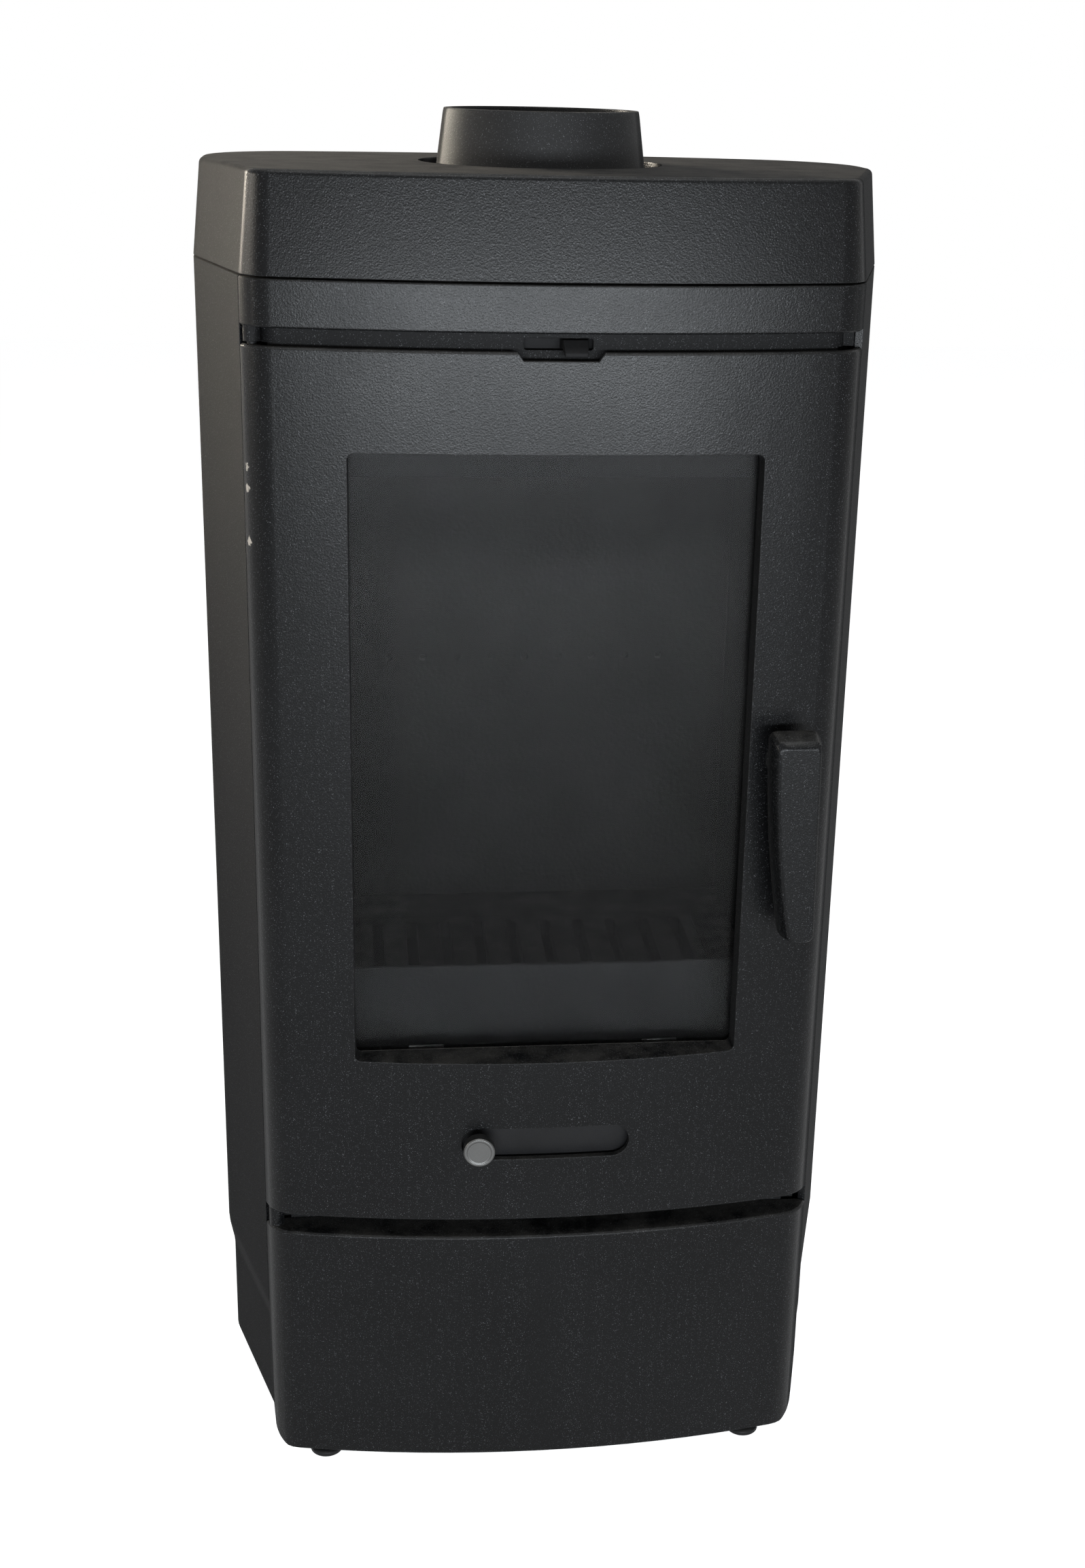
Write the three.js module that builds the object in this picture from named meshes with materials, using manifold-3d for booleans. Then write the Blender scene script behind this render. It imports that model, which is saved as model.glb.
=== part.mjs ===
// A free-standing cast-iron log stove: a tall body with a bowed front, a glazed door hinged on the
// left, a lift-off top cover round the flue collar, and the firebox, grate and ash pan inside.
// Millimetres, +Z up, seen from the front along +Y. In the body's own frame y = 0 is the foremost
// line of the door's bow; the finished group is moved so that its origin is the middle of its
// footprint on the floor.

import * as THREE from 'three';
import { mergeVertices } from 'three/addons/utils/BufferGeometryUtils.js';
import Module from 'manifold-3d';

const wasm = await Module();
wasm.setup();

const degrees = (angle) => angle * Math.PI / 180;

// ---- Driving dimensions -------------------------------------------------------------------------

// Plan of the body, seen from above
const frontBowRadius = 1059;
const frontHalfWidth = 204;        // the bow meets the rounded corner here
const frontCornerRadius = 30;
const bodyHalfWidth = 267;
const shoulderRadius = 60;         // where the slanting side turns to run straight back
const shoulderY = 184.5;           // the middle of that turn
const rearCornerRadius = 100;
const backBowRadius = 900;
const bodyDepth = 326;

// Heights, stacked from the floor up
const floorClearance = 6.7;        // under the apron
const skirtRise = 24;              // the side panels' lower edge above the apron's
const apronHeight = 212.3;
const lowerGroove = 16;            // between apron and door
const doorHeight = 702;
const recessHeight = 13;           // between door and band
const bandHeight = 34;
const coverSeam = 1.5;
const coverHeight = 72;
const collarRise = 39;             // above the cover

// Walls and running clearances
const skinWall = 6;
const doorWall = 5.5;
const coverWall = 7;
const footStep = 4.5;              // the side panels' inward step near their lower edge
const footStepRise = 99;           // its middle above that edge
const ribDepth = 10;
const ribHeight = 6;
const apronCorner = 20;            // radius of its lower corners
const apronTaper = 3;              // its edges lean in by this much towards those corners
const apronTaperTop = 75;          // and start to lean at this height
const seat = 0.3;                  // between pieces that rest on each other
const panelJoint = 1.5;            // between the door's edge and the side panel

// Door
const windowHalfWidth = 153.6;
const windowHeight = 487;
const windowSill = 142;            // above the door's lower edge
const windowCorner = 5;
const rebateDraft = 2.1;
const glassSeatDepth = 27.4;       // behind the door's foremost line
const gasketThickness = 1.9;
const glassThickness = 4;
const glassOverlap = 7;
const doorBack = 41;
const ropeHalfWidth = 168;         // middle of the rope's run, from the door's middle
const ropeDiameter = 9.3;
const ropeGroove = 10;
const ropeWall = 3.5;
const ropeSill = 17;               // middle of the rope's lower run above the door's lower edge
const ropeHead = 36;               // middle of its upper run below the door's upper edge
const notchHalfWidth = 32;
const notchDepth = 6.2;

// Hinge
const hingeInset = 6.5;            // the pins' axis inside the door's rounded corner
const hingeTurn = degrees(60);     // where round that corner the axis lies
const hingePinRadius = 3.5;
const hingeBossRadius = 6.3;
const hingePinBite = 27;
const boreClearance = 0.35;

// Handle and latch
const handleX = 185.5;
const handleZ = 391;               // the spindle above the door's lower edge
const handleTopRise = 29;
const handleDrop = 141;
const handleThickness = 21;
const handleLeft = 22;             // its edges beside the spindle, at its top
const handleRight = 17.5;
const handleWaist = 16;            // the left edge curves in by this much at the bottom
const handleFlare = 3;             // the right edge leans out
const handleCorner = 6;
const handleStandOff = 18.5;       // clear space for fingers behind the lever
const spindleRadius = 6;
const bossRadius = 19;
const bossRise = 6;                // the boss's face in front of the door's there
const camThickness = 6;
const camHubRadius = 7.5;
const camReach = 19;

// Primary air slide in the door
const airSlotHalf = 68;
const airSlotHeight = 28;
const airSlotZ = 70;               // above the door's lower edge
const airPlateDepth = 9.5;         // behind the door's face
const airPlateThickness = 2;
const airPlateHeight = 35;
const knobRadius = 12.7;
const knobThickness = 10;
const knobGap = 4;
const knobStemRadius = 4;

// Airwash slide under the band
const noseDepth = 14;              // the recess's back behind the door's foremost line
const noseHeight = 24;
const noseWall = 4.5;
const airwashHalf = 25;
const airwashHeight = 8.5;
const airwashX = -1;
const tabX = 11;
const tabWidth = 16;
const tabRootWidth = 21;
const airwashPlateHalf = 40;
const airwashGuideHalf = 86;

// Fixed frame behind the door
const frameFace = 44;
const frameWall = 7;
const fireHalfWidth = 158;
const fireSill = 366;
const fireHead = 885;
const ashHalfWidth = 140;
const ashHead = 352;

// Firebox and ash chamber
const ashFloorTop = 265;
const fireFloorTop = 416;
const castPlate = 8;
const linerHalfGap = 178;
const chamberBack = 262;
const linerRearTop = 812;
const linerFrontTop = 880;
const airHoleCount = 9;
const airHolePitch = 29.5;
const airHoleZ = 639;
const airHoleRadius = 3;
const grateHalfWidth = 146;
const grateDepth = 120;
const grateSetback = 90;           // its front edge behind the door's foremost line
const grateThickness = 6;
const grateLedge = 6;              // its rim on the floor's rebate
const grateRim = 12;               // solid metal round the slots
const grateBarDepth = 9;           // the bars below the plate
const grateSlotCount = 10;
const grateSlotPitch = 29;
const grateSlotWidth = 10;
const guardTop = 438;
const guardBottom = 367;
const guardWall = 6;
const guardFoot = 24;              // its foot reaches back over the floor
const baffleFront = 112;
const sheet = 1.5;
const panHalfWidth = 132;
const panHeight = 70;
const panPullHalf = 32;

// Flue
const collarY = 187;
const collarTopRadius = 75;
const collarTaper = 0.127;         // growth in radius per millimetre down
const collarWall = 6;
const collarFlange = 108;
const coverHoleRadius = 94;
const coverDraft = 7;
const coverEdge = 4;

// Feet and back
const footRadius = 13.8;
const footStemRadius = 4;
const footNutRadius = 6.4;
const frontFootInset = 23;         // from the bow's end
const rearFootInset = 116;         // from the body's side
const footFrontY = 28.6;
const footRearY = 286;
const rearPanelInset = 12;
const shieldBoltX = 120;

// ---- Derived levels and places ------------------------------------------------------------------

const skirtBottom = floorClearance + skirtRise;
const apronTop = floorClearance + apronHeight;
const doorBottom = apronTop + lowerGroove;
const doorTop = doorBottom + doorHeight;
const bandBottom = doorTop + recessHeight;
const bodyTop = bandBottom + bandHeight;
const coverBottom = bodyTop + coverSeam;
const coverTop = coverBottom + coverHeight;
const collarTop = coverTop + collarRise;
const baseTop = skirtBottom + skinWall + 1;
const glassHalfWidth = windowHalfWidth - rebateDraft + glassOverlap;
const glassY = glassSeatDepth + seat + gasketThickness + seat;
const windowBottom = doorBottom + windowSill;
const windowTop = windowBottom + windowHeight;
const glassBottom = windowBottom + rebateDraft - glassOverlap;
const glassTop = windowTop - rebateDraft + glassOverlap;
const ropeBottom = doorBottom + ropeSill;
const ropeTop = doorTop - ropeHead;
const ropeWallOuter = ropeGroove / 2 + ropeWall;
const spindleZ = doorBottom + handleZ;
const slotZ = doorBottom + airSlotZ;
const faceDepth = (x) => frontBowRadius - Math.sqrt(frontBowRadius ** 2 - x ** 2);

// ---- Solids from three.js geometries, joined and cut --------------------------------------------

function solid(geometry) {
  const bare = geometry.index ? geometry.clone() : geometry;
  bare.deleteAttribute('normal');
  bare.deleteAttribute('uv');
  const merged = mergeVertices(bare, 1e-4);
  const vertProperties = new Float32Array(merged.attributes.position.array);
  const triVerts = new Uint32Array(merged.index.array);
  return new wasm.Manifold(new wasm.Mesh({ numProp: 3, vertProperties, triVerts }));
}

const join = (first, ...others) => others.reduce((body, other) => body.add(other), first);
const cut = (first, ...others) => others.reduce((body, other) => body.subtract(other), first);
const common = (first, ...others) => others.reduce((body, other) => body.intersect(other), first);

function geometryOf(body) {
  const mesh = body.getMesh();
  const geometry = new THREE.BufferGeometry();
  geometry.setAttribute('position', new THREE.Float32BufferAttribute(mesh.vertProperties, 3));
  geometry.setIndex(new THREE.Uint32BufferAttribute(mesh.triVerts, 1));
  geometry.computeVertexNormals();
  return geometry;
}

function box(x0, x1, y0, y1, z0, z1) {
  const geometry = new THREE.BoxGeometry(x1 - x0, y1 - y0, z1 - z0);
  geometry.translate((x0 + x1) / 2, (y0 + y1) / 2, (z0 + z1) / 2);
  return solid(geometry);
}

function uprightRod(x, y, z0, z1, radius, sides = 12) {
  const geometry = new THREE.CylinderGeometry(radius, radius, z1 - z0, sides);
  geometry.rotateX(Math.PI / 2);
  geometry.translate(x, y, (z0 + z1) / 2);
  return solid(geometry);
}

function levelRod(x, z, y0, y1, radius, sides = 12) {
  const geometry = new THREE.CylinderGeometry(radius, radius, y1 - y0, sides);
  geometry.translate(x, (y0 + y1) / 2, z);
  return solid(geometry);
}

// A level plate between two heights from its plan
function prism(plan, z0, z1) {
  const shape = new THREE.Shape(plan.map(([x, y]) => new THREE.Vector2(x, y)));
  const geometry = new THREE.ExtrudeGeometry(shape, { depth: z1 - z0, bevelEnabled: false });
  geometry.translate(0, 0, z0);
  return solid(geometry);
}

// An upright plate between two depths from its outline in x and z
function uprightPlate(shape, y0, y1, curveSegments = 4) {
  const options = { depth: y1 - y0, bevelEnabled: false, curveSegments };
  const geometry = new THREE.ExtrudeGeometry(shape, options);
  geometry.rotateX(Math.PI / 2);
  geometry.translate(0, y1, 0);
  return solid(geometry);
}

// A section in y and z, run along x
function crossBar(section, x0, x1) {
  const shape = new THREE.Shape(section.map(([y, z]) => new THREE.Vector2(y, z)));
  const geometry = new THREE.ExtrudeGeometry(shape, { depth: x1 - x0, bevelEnabled: false });
  geometry.rotateZ(Math.PI / 2);
  geometry.rotateY(Math.PI / 2);
  geometry.translate(x0, 0, 0);
  return solid(geometry);
}

function roundedRectangle(x0, x1, z0, z1, radius, outline = new THREE.Shape()) {
  outline.absarc(x1 - radius, z0 + radius, radius, -Math.PI / 2, 0, false);
  outline.absarc(x1 - radius, z1 - radius, radius, 0, Math.PI / 2, false);
  outline.absarc(x0 + radius, z1 - radius, radius, Math.PI / 2, Math.PI, false);
  outline.absarc(x0 + radius, z0 + radius, radius, Math.PI, Math.PI * 1.5, false);
  outline.closePath();
  return outline;
}

function rectangularRing(outer, outerRadius, inner, innerRadius) {
  const shape = roundedRectangle(...outer, outerRadius);
  shape.holes.push(roundedRectangle(...inner, innerRadius, new THREE.Path()));
  return shape;
}

// Closed surface through a stack of rings with equal counts of points, its two ends flat
function loft(rings) {
  const count = rings[0].length;
  const positions = rings.flat().flatMap((point) => [point.x, point.y, point.z]);
  const ends = [rings[0], rings[rings.length - 1]];
  const flat = ends.map((ring) => ring.map((point) => new THREE.Vector2(point.x, point.y)));
  const top = (rings.length - 1) * count;
  const indices = [];
  for (let level = 0; level < rings.length - 1; level += 1) {
    for (let i = 0; i < count; i += 1) {
      const a = level * count + i;
      const b = level * count + (i + 1) % count;
      indices.push(a, b, b + count, a, b + count, a + count);
    }
  }
  for (const [a, b, c] of THREE.ShapeUtils.triangulateShape(flat[0], [])) indices.push(a, c, b);
  for (const [a, b, c] of THREE.ShapeUtils.triangulateShape(flat[1], [])) {
    indices.push(top + a, top + b, top + c);
  }
  const geometry = new THREE.BufferGeometry();
  geometry.setAttribute('position', new THREE.Float32BufferAttribute(positions, 3));
  geometry.setIndex(indices);
  return solid(geometry);
}

// ---- The plan's outline -------------------------------------------------------------------------

// A station on the outline has its place and its heading, which is 0 along +X and grows to the left.
// Its outward normal is (sin heading, -cos heading).
function arcStations(cx, cy, radius, from, to, steps) {
  return Array.from({ length: steps + 1 }, (_, i) => {
    const heading = from + (to - from) * i / steps;
    return { x: cx + radius * Math.sin(heading), y: cy - radius * Math.cos(heading), heading };
  });
}

const bowEnd = Math.asin(frontHalfWidth / frontBowRadius);
const cornerReach = frontBowRadius - frontCornerRadius;
const cornerX = cornerReach * Math.sin(bowEnd);
const cornerY = frontBowRadius - cornerReach * Math.cos(bowEnd);

// The side is the straight line that touches the front corner's arc and the shoulder's
const shoulderX = bodyHalfWidth - shoulderRadius;
const shoulderReach = Math.hypot(shoulderX - cornerX, shoulderY - cornerY);
const sideHeading = Math.atan2(shoulderY - cornerY, shoulderX - cornerX)
  + Math.asin((frontCornerRadius - shoulderRadius) / shoulderReach);
const sideFlare = Math.PI / 2 - sideHeading;

const bowStations = arcStations(0, frontBowRadius, frontBowRadius, 0, bowEnd, 8);
const cornerStations =
  arcStations(cornerX, cornerY, frontCornerRadius, bowEnd, sideHeading, 5).slice(1);
const doorEdge = cornerStations[cornerStations.length - 1];

// Behind the shoulder the outline turns round to the back's bow
const rearCornerX = bodyHalfWidth - rearCornerRadius;
const backCentreY = bodyDepth - backBowRadius;
const backReach = backBowRadius - rearCornerRadius;
const rearCornerY = backCentreY + Math.sqrt(backReach ** 2 - rearCornerX ** 2);
const backTurn = Math.PI - Math.asin(rearCornerX / backReach);

const sideStations = [
  ...arcStations(shoulderX, shoulderY, shoulderRadius, sideHeading, Math.PI / 2, 3),
  ...arcStations(rearCornerX, rearCornerY, rearCornerRadius, Math.PI / 2, backTurn, 9),
];
const backStations =
  arcStations(0, backCentreY, backBowRadius, backTurn, Math.PI, 5).slice(1);

const mirrored = (stations) =>
  stations.map(({ x, y, heading }) => ({ x: -x, y, heading: -heading })).reverse();

const frontRight = [...bowStations, ...cornerStations];
const frontStations = [...mirrored(frontRight.slice(1)), ...frontRight];
const halfOutline = [...frontRight, ...sideStations, ...backStations];
const wholeOutline = [...halfOutline, ...mirrored(halfOutline.slice(1, -1))];

const inward = ({ x, y, heading }, inset) =>
  [x - inset * Math.sin(heading), y + inset * Math.cos(heading)];
const offsetPlan = (stations, inset) => stations.map((station) => inward(station, inset));

// Where the side's straight run lies at a depth, seen from the middle
const sideX = (y, inset) =>
  doorEdge.x + (y - doorEdge.y) * Math.tan(sideFlare) - inset / Math.cos(sideFlare);

// A wall that follows a stretch of the outline, between two insets
function wallPlan(stations, outer, inner) {
  return [...offsetPlan(stations, outer), ...offsetPlan(stations, inner).reverse()];
}

// The same wall with its insets given level by level: [z, outer, inner]
function shapedWall(stations, levels) {
  return loft(levels.map(([z, outer, inner]) =>
    wallPlan(stations, outer, inner).map(([x, y]) => new THREE.Vector3(x, y, z))));
}

const hingeX = -(cornerX + (frontCornerRadius - hingeInset) * Math.sin(hingeTurn));
const hingeY = cornerY - (frontCornerRadius - hingeInset) * Math.cos(hingeTurn);
const hingeSweep =
  Math.hypot(doorEdge.x + hingeX, doorEdge.y - hingeY) + 0.7;   // clear of the door's own edge

// ---- Base, feet and skins -----------------------------------------------------------------------

// The base plate closes the body below and carries every upright wall
function basePlate() {
  const plan = wholeOutline.map((station) => {
    const front = Math.abs(station.heading) < sideHeading - 0.01;
    return inward(station, skinWall + 0.5 + (front ? 0 : footStep));
  });
  let plate = prism(plan, skirtBottom, baseTop);
  for (const [x, y] of footPlaces) {
    plate = cut(plate, uprightRod(x, y, skirtBottom - 1, baseTop + 1, footStemRadius + boreClearance));
  }
  return plate;
}

const frontFootX = frontHalfWidth - frontFootInset;
const rearFootX = bodyHalfWidth - rearFootInset;
const footPlaces = [
  [-frontFootX, footFrontY], [frontFootX, footFrontY],
  [-rearFootX, footRearY], [rearFootX, footRearY],
];

// A levelling foot: pad, stem and the nut that bears against the base plate
function levellingFoot() {
  const pad = uprightRod(0, 0, 0, floorClearance - 0.7, footRadius, 16);
  const stem = uprightRod(0, 0, 2, baseTop, footStemRadius);
  const nut = uprightRod(0, 0, skirtBottom - seat - 6, skirtBottom - seat, footNutRadius, 6);
  return join(pad, stem, nut);
}

// The fixed apron below the door, its lower corners rounded, with a shelf at its upper edge
function frontApron() {
  const skin = shapedWall(frontStations, [
    [floorClearance, 1.5, skinWall],
    [floorClearance + 1.5, 0, skinWall],
    [apronTop - 1.5, 0, skinWall],
    [apronTop, 1.5, skinWall],
  ]);
  const lip = offsetPlan(frontStations, skinWall / 2);
  const back = frameFace - 0.6;
  const [shelfEnd] = inward(doorEdge, skinWall + 1);
  const shelfPlan = [...lip, [shelfEnd, back], [-shelfEnd, back]];
  const shelf = prism(shelfPlan, apronTop - skinWall, apronTop);
  const rib = shapedWall(frontStations, [
    [baseTop + seat, skinWall - 1, skinWall + ribDepth],
    [baseTop + seat + ribHeight, skinWall - 1, skinWall + ribDepth],
  ]);
  const lug = uprightRod(hingeX, hingeY, apronTop - 1, doorBottom - seat, hingeBossRadius);
  const bore = uprightRod(hingeX, hingeY, apronTop - 2, doorBottom, hingePinRadius + boreClearance);
  return cut(common(join(skin, shelf, rib, lug), uprightPlate(apronFace(), -20, 80, 6)), bore);
}

// The apron seen from the front: its edges lean in towards rounded lower corners
function apronFace() {
  const half = doorEdge.x + 0.5;
  const centreX = doorEdge.x - apronTaper - apronCorner;
  const centreZ = floorClearance - 1 + apronCorner;
  const face = new THREE.Shape();
  face.absarc(centreX, centreZ, apronCorner, -Math.PI / 2, 0, false);
  face.lineTo(half, apronTaperTop);
  face.lineTo(half, doorBottom + 5);
  face.lineTo(-half, doorBottom + 5);
  face.lineTo(-half, apronTaperTop);
  face.absarc(-centreX, centreZ, apronCorner, Math.PI, Math.PI * 1.5, false);
  face.closePath();
  return face;
}

// A side panel: the outer casting from the door's edge to the back, set in a little at its foot
function sidePanel(side) {
  const stepZ = skirtBottom + footStepRise;
  const first = {
    x: doorEdge.x + panelJoint * Math.cos(sideHeading),
    y: doorEdge.y + panelJoint * Math.sin(sideHeading),
    heading: sideHeading,
  };
  const stations = [first, ...sideStations];
  const last = stations[stations.length - 1];
  const level = (z, share) => [z, footStep * share, footStep * share + skinWall];
  const skin = shapedWall(stations, [
    level(skirtBottom, 1), level(stepZ - 15, 1), level(stepZ - 8, 0.85), level(stepZ, 0.5),
    level(stepZ + 8, 0.15), level(stepZ + 15, 0), level(bodyTop, 0),
  ]);
  const flangeY = frameFace + frameWall + 4 + seat;
  const ribStart = { x: sideX(flangeY + 2, 0), y: flangeY + 2, heading: sideHeading };
  const rib = (z) => shapedWall([ribStart, ...sideStations], [
    [z, skinWall - 1, skinWall + ribDepth], [z + ribHeight, skinWall - 1, skinWall + ribDepth],
  ]);
  const flangeX = sideX(flangeY, skinWall);
  const flange = box(flangeX - 20, flangeX + 2, flangeY, flangeY + 6, baseTop + seat, bodyTop - 12);
  const beforeLast = (step) => ({
    x: last.x - step * Math.cos(last.heading),
    y: last.y - step * Math.sin(last.heading),
    heading: last.heading,
  });
  const returnPlan = wallPlan([beforeLast(6), beforeLast(0.5)], skinWall - 1, rearPanelInset + 14);
  const returnWall = prism(returnPlan, baseTop + seat, bodyTop - ribHeight - seat);
  const ashRib = ashFloorTop - skinWall - seat - ribHeight;
  const topRib = bodyTop - skinWall - seat - ribHeight;
  let panel = join(skin, rib(baseTop + seat), rib(ashRib), rib(topRib), flange, returnWall);
  if (side < 0) {
    panel = panel.mirror([1, 0, 0]);
    panel = cut(panel, uprightRod(hingeX, hingeY, skirtBottom - 1, bodyTop + 1, hingeSweep, 24));
  }
  return panel;
}

// The cast back of the body, between the side panels' returns, with bosses for the heat shield
function rearPanel() {
  const edge = sideStations[sideStations.length - 1];
  const half = edge.x - 6 - seat - 1;
  const right = arcStations(0, backCentreY, backBowRadius,
    Math.PI - Math.asin(half / backBowRadius), Math.PI, 7);
  const stations = [...right, ...mirrored(right.slice(0, -1))];
  let panel = shapedWall(stations, [
    [baseTop + seat, rearPanelInset, rearPanelInset + skinWall],
    [bodyTop - skinWall - seat, rearPanelInset, rearPanelInset + skinWall],
  ]);
  for (const [x, z] of shieldBoltPlaces) {
    const y = shieldY(x);
    panel = join(panel, levelRod(x, z, y - rearPanelInset - 2, y - sheet - seat - 1.2, 8));
    panel = cut(panel, levelRod(x, z, y - 40, y + 5, 3 + boreClearance));
  }
  return panel;
}

const shieldY = (x) => backCentreY + Math.sqrt(backBowRadius ** 2 - x ** 2);
const shieldBoltPlaces = [-shieldBoltX, shieldBoltX].flatMap((x) => [[x, 180], [x, 860]]);

// The bent steel heat shield that stands off the cast back
function heatShield() {
  const edge = sideStations[sideStations.length - 1];
  const half = edge.x - 3;
  const right = arcStations(0, backCentreY, backBowRadius,
    Math.PI - Math.asin(half / backBowRadius), Math.PI, 7);
  const stations = [...right, ...mirrored(right.slice(0, -1))];
  let shield = shapedWall(stations, [
    [skirtBottom + 24, 0, sheet], [bodyTop - 14, 0, sheet],
  ]);
  for (const [x, z] of shieldBoltPlaces) {
    shield = cut(shield, levelRod(x, z, shieldY(x) - 8, shieldY(x) + 8, 3 + boreClearance));
  }
  return shield;
}

function shieldBolt([x, z]) {
  const y = shieldY(x) + 0.9;
  return join(levelRod(x, z, y - 16, y + 1, 3), levelRod(x, z, y, y + 4, 6, 6));
}

// ---- Fixed front: frame, recess and band --------------------------------------------------------

// One casting carries the band over the door, the recess with the airwash slot, and the frame that
// the door's rope closes against, with the mouths of the firebox and the ash chamber
function frontFrame() {
  const frameTop = bodyTop - skinWall - seat;
  const frameBack = frameFace + frameWall;
  const half = -hingeX - hingeSweep - 2;
  const plate = box(-half, half, frameFace, frameBack, baseTop + seat, frameTop);
  const wing = sideX(frameBack - 2, footStep + skinWall) - 0.4;
  const flange = box(-wing, wing, frameBack - 2, frameBack + 4, baseTop + seat, frameTop);
  const band = shapedWall(frontStations, [
    [bandBottom, 1.2, skinWall], [bandBottom + 1.2, 0, skinWall], [bodyTop - 1, 0, skinWall],
    [bodyTop, 1, skinWall],
  ]);
  const lip = offsetPlan(frontStations, skinWall / 2);
  const soffitPlan = [...lip, [half, frameFace + 2], [-half, frameFace + 2]];
  const soffit = prism(soffitPlan, bandBottom, bandBottom + skinWall);
  const noseBottom = doorTop - noseHeight / 2 + 1;
  const noseStations = frontStations.filter(({ heading }) => Math.abs(heading) < degrees(45));
  const nose = shapedWall(noseStations, [
    [noseBottom, noseDepth, noseDepth + noseWall], [bandBottom + 1, noseDepth, noseDepth + noseWall],
  ]);
  const recessBack = shapedWall(frontStations, [
    [doorTop + 1, noseDepth, noseDepth + noseWall], [bandBottom + 1, noseDepth, noseDepth + noseWall],
  ]);
  const sill = offsetPlan(noseStations, noseDepth + 2);
  const sillPlan = [...sill, [sill[sill.length - 1][0], frameFace + 2], [sill[0][0], frameFace + 2]];
  const noseSill = prism(sillPlan, noseBottom, noseBottom + noseWall);
  const lug = uprightRod(hingeX, hingeY, doorTop + 2, bandBottom + 1, hingeBossRadius);
  const bore = uprightRod(hingeX, hingeY, doorTop, bandBottom - 1, hingePinRadius + boreClearance);
  const slot = uprightPlate(airwashSlot(), 0, frameFace - 4);
  const windway = box(-60, 60, frameFace - 1, frameBack + 6, noseBottom + 5.5, bandBottom - 4);
  const mouths = [
    roundedRectangle(-fireHalfWidth, fireHalfWidth, fireSill, fireHead, 12),
    roundedRectangle(-ashHalfWidth, ashHalfWidth, ashFloorTop - 1, ashHead, 8),
    roundedRectangle(-ashHalfWidth, ashHalfWidth, baseTop + 24, ashFloorTop - 60, 12),
  ].map((shape) => uprightPlate(shape, frameFace - 2, frameBack + 6));
  const swing = uprightRod(hingeX, hingeY, apronTop + 1, doorTop + 0.8, hingeSweep + 0.6, 24);
  const recessEnd = recessEndWall();
  const casting = join(plate, flange, band, soffit, nose, recessBack, recessEnd,
    recessEnd.mirror([1, 0, 0]), noseSill, lug);
  return cut(casting, bore, slot, windway, ...mouths, swing);
}

// Over the door's edge the recess's back wall steps out to the side panel
function recessEndWall() {
  const tail = {
    x: doorEdge.x + noseWall * Math.cos(sideHeading),
    y: doorEdge.y + noseWall * Math.sin(sideHeading),
    heading: sideHeading,
  };
  const plan = wallPlan([doorEdge, tail], skinWall + seat + 0.2, noseDepth + noseWall - 1);
  return prism(plan, doorTop + 1, bandBottom + 1);
}

function airwashSlot() {
  const z = doorTop + airwashHeight / 2;
  return roundedRectangle(airwashX - airwashHalf, airwashX + airwashHalf,
    z - airwashHeight / 2, z + airwashHeight / 2, 2);
}

// The airwash slide: a plate inside the recess with a tab that bends down through its slot
function airwashSlider() {
  const plateY = noseDepth + noseWall + 3.5;
  const bottom = doorTop - noseHeight / 2 + 5.5 + seat;
  const z = doorTop + airwashHeight / 2;
  const plate = box(tabX - airwashPlateHalf, tabX + airwashPlateHalf, plateY, plateY + 2,
    bottom, bandBottom - 0.6);
  const arm = crossBar([
    [plateY + 1, z - 3.4], [noseDepth - 1, z - 3.4], [3, doorTop - 4], [2, doorTop - 3],
    [2, doorTop - 0.5], [noseDepth - 2, z + 3.4], [plateY + 1, z + 3.4],
  ], tabX - tabRootWidth / 2, tabX + tabRootWidth / 2);
  const taper = prism([
    [tabX - tabRootWidth / 2, plateY + 2], [tabX - tabWidth / 2, 0],
    [tabX + tabWidth / 2, 0], [tabX + tabRootWidth / 2, plateY + 2],
  ], doorTop - 8, bandBottom);
  return join(plate, common(arm, taper));
}

// The bar that keeps the airwash plate upright on the recess's sill
function airwashGuide() {
  const y = noseDepth + noseWall + 5.5 + 0.4;
  const bottom = doorTop - noseHeight / 2 + 5.5 + seat;
  return box(-airwashGuideHalf, airwashGuideHalf, y, y + 3, bottom, bottom + 7);
}

// The keeper beside the latch's nose, with a foot screwed to the frame
function latchKeeper() {
  const x = handleX + camReach + 0.5;
  const foot = box(x - 8, x + 5, frameFace - seat - 2.4, frameFace - seat,
    spindleZ - 22, spindleZ + 22);
  const post = box(x, x + 5, doorBack - 10, frameFace - seat, spindleZ - 12, spindleZ + 12);
  let keeper = join(foot, post);
  for (const z of keeperScrewHeights) {
    keeper = cut(keeper, levelRod(x - 3, z, frameFace - 6, frameFace + 1, 2.2));
  }
  return keeper;
}

const keeperScrewHeights = [spindleZ - 17.5, spindleZ + 17.5];

function keeperScrew(z) {
  const x = handleX + camReach - 2.5;
  const y = frameFace - seat - 2.4 - 0.2;
  return join(levelRod(x, z, y - 2, y, 3.6), levelRod(x, z, y - 0.5, frameFace - 0.2, 1.9));
}

// ---- Top: plate, collar and cover ---------------------------------------------------------------

function topPlate() {
  const plate = prism(offsetPlan(wholeOutline, skinWall + 1), bodyTop - skinWall, bodyTop);
  return cut(plate, uprightRod(0, collarY, bodyTop - 10, bodyTop + 10, collarBore - 1, 40));
}

const collarBore = collarTopRadius - collarWall;

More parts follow.
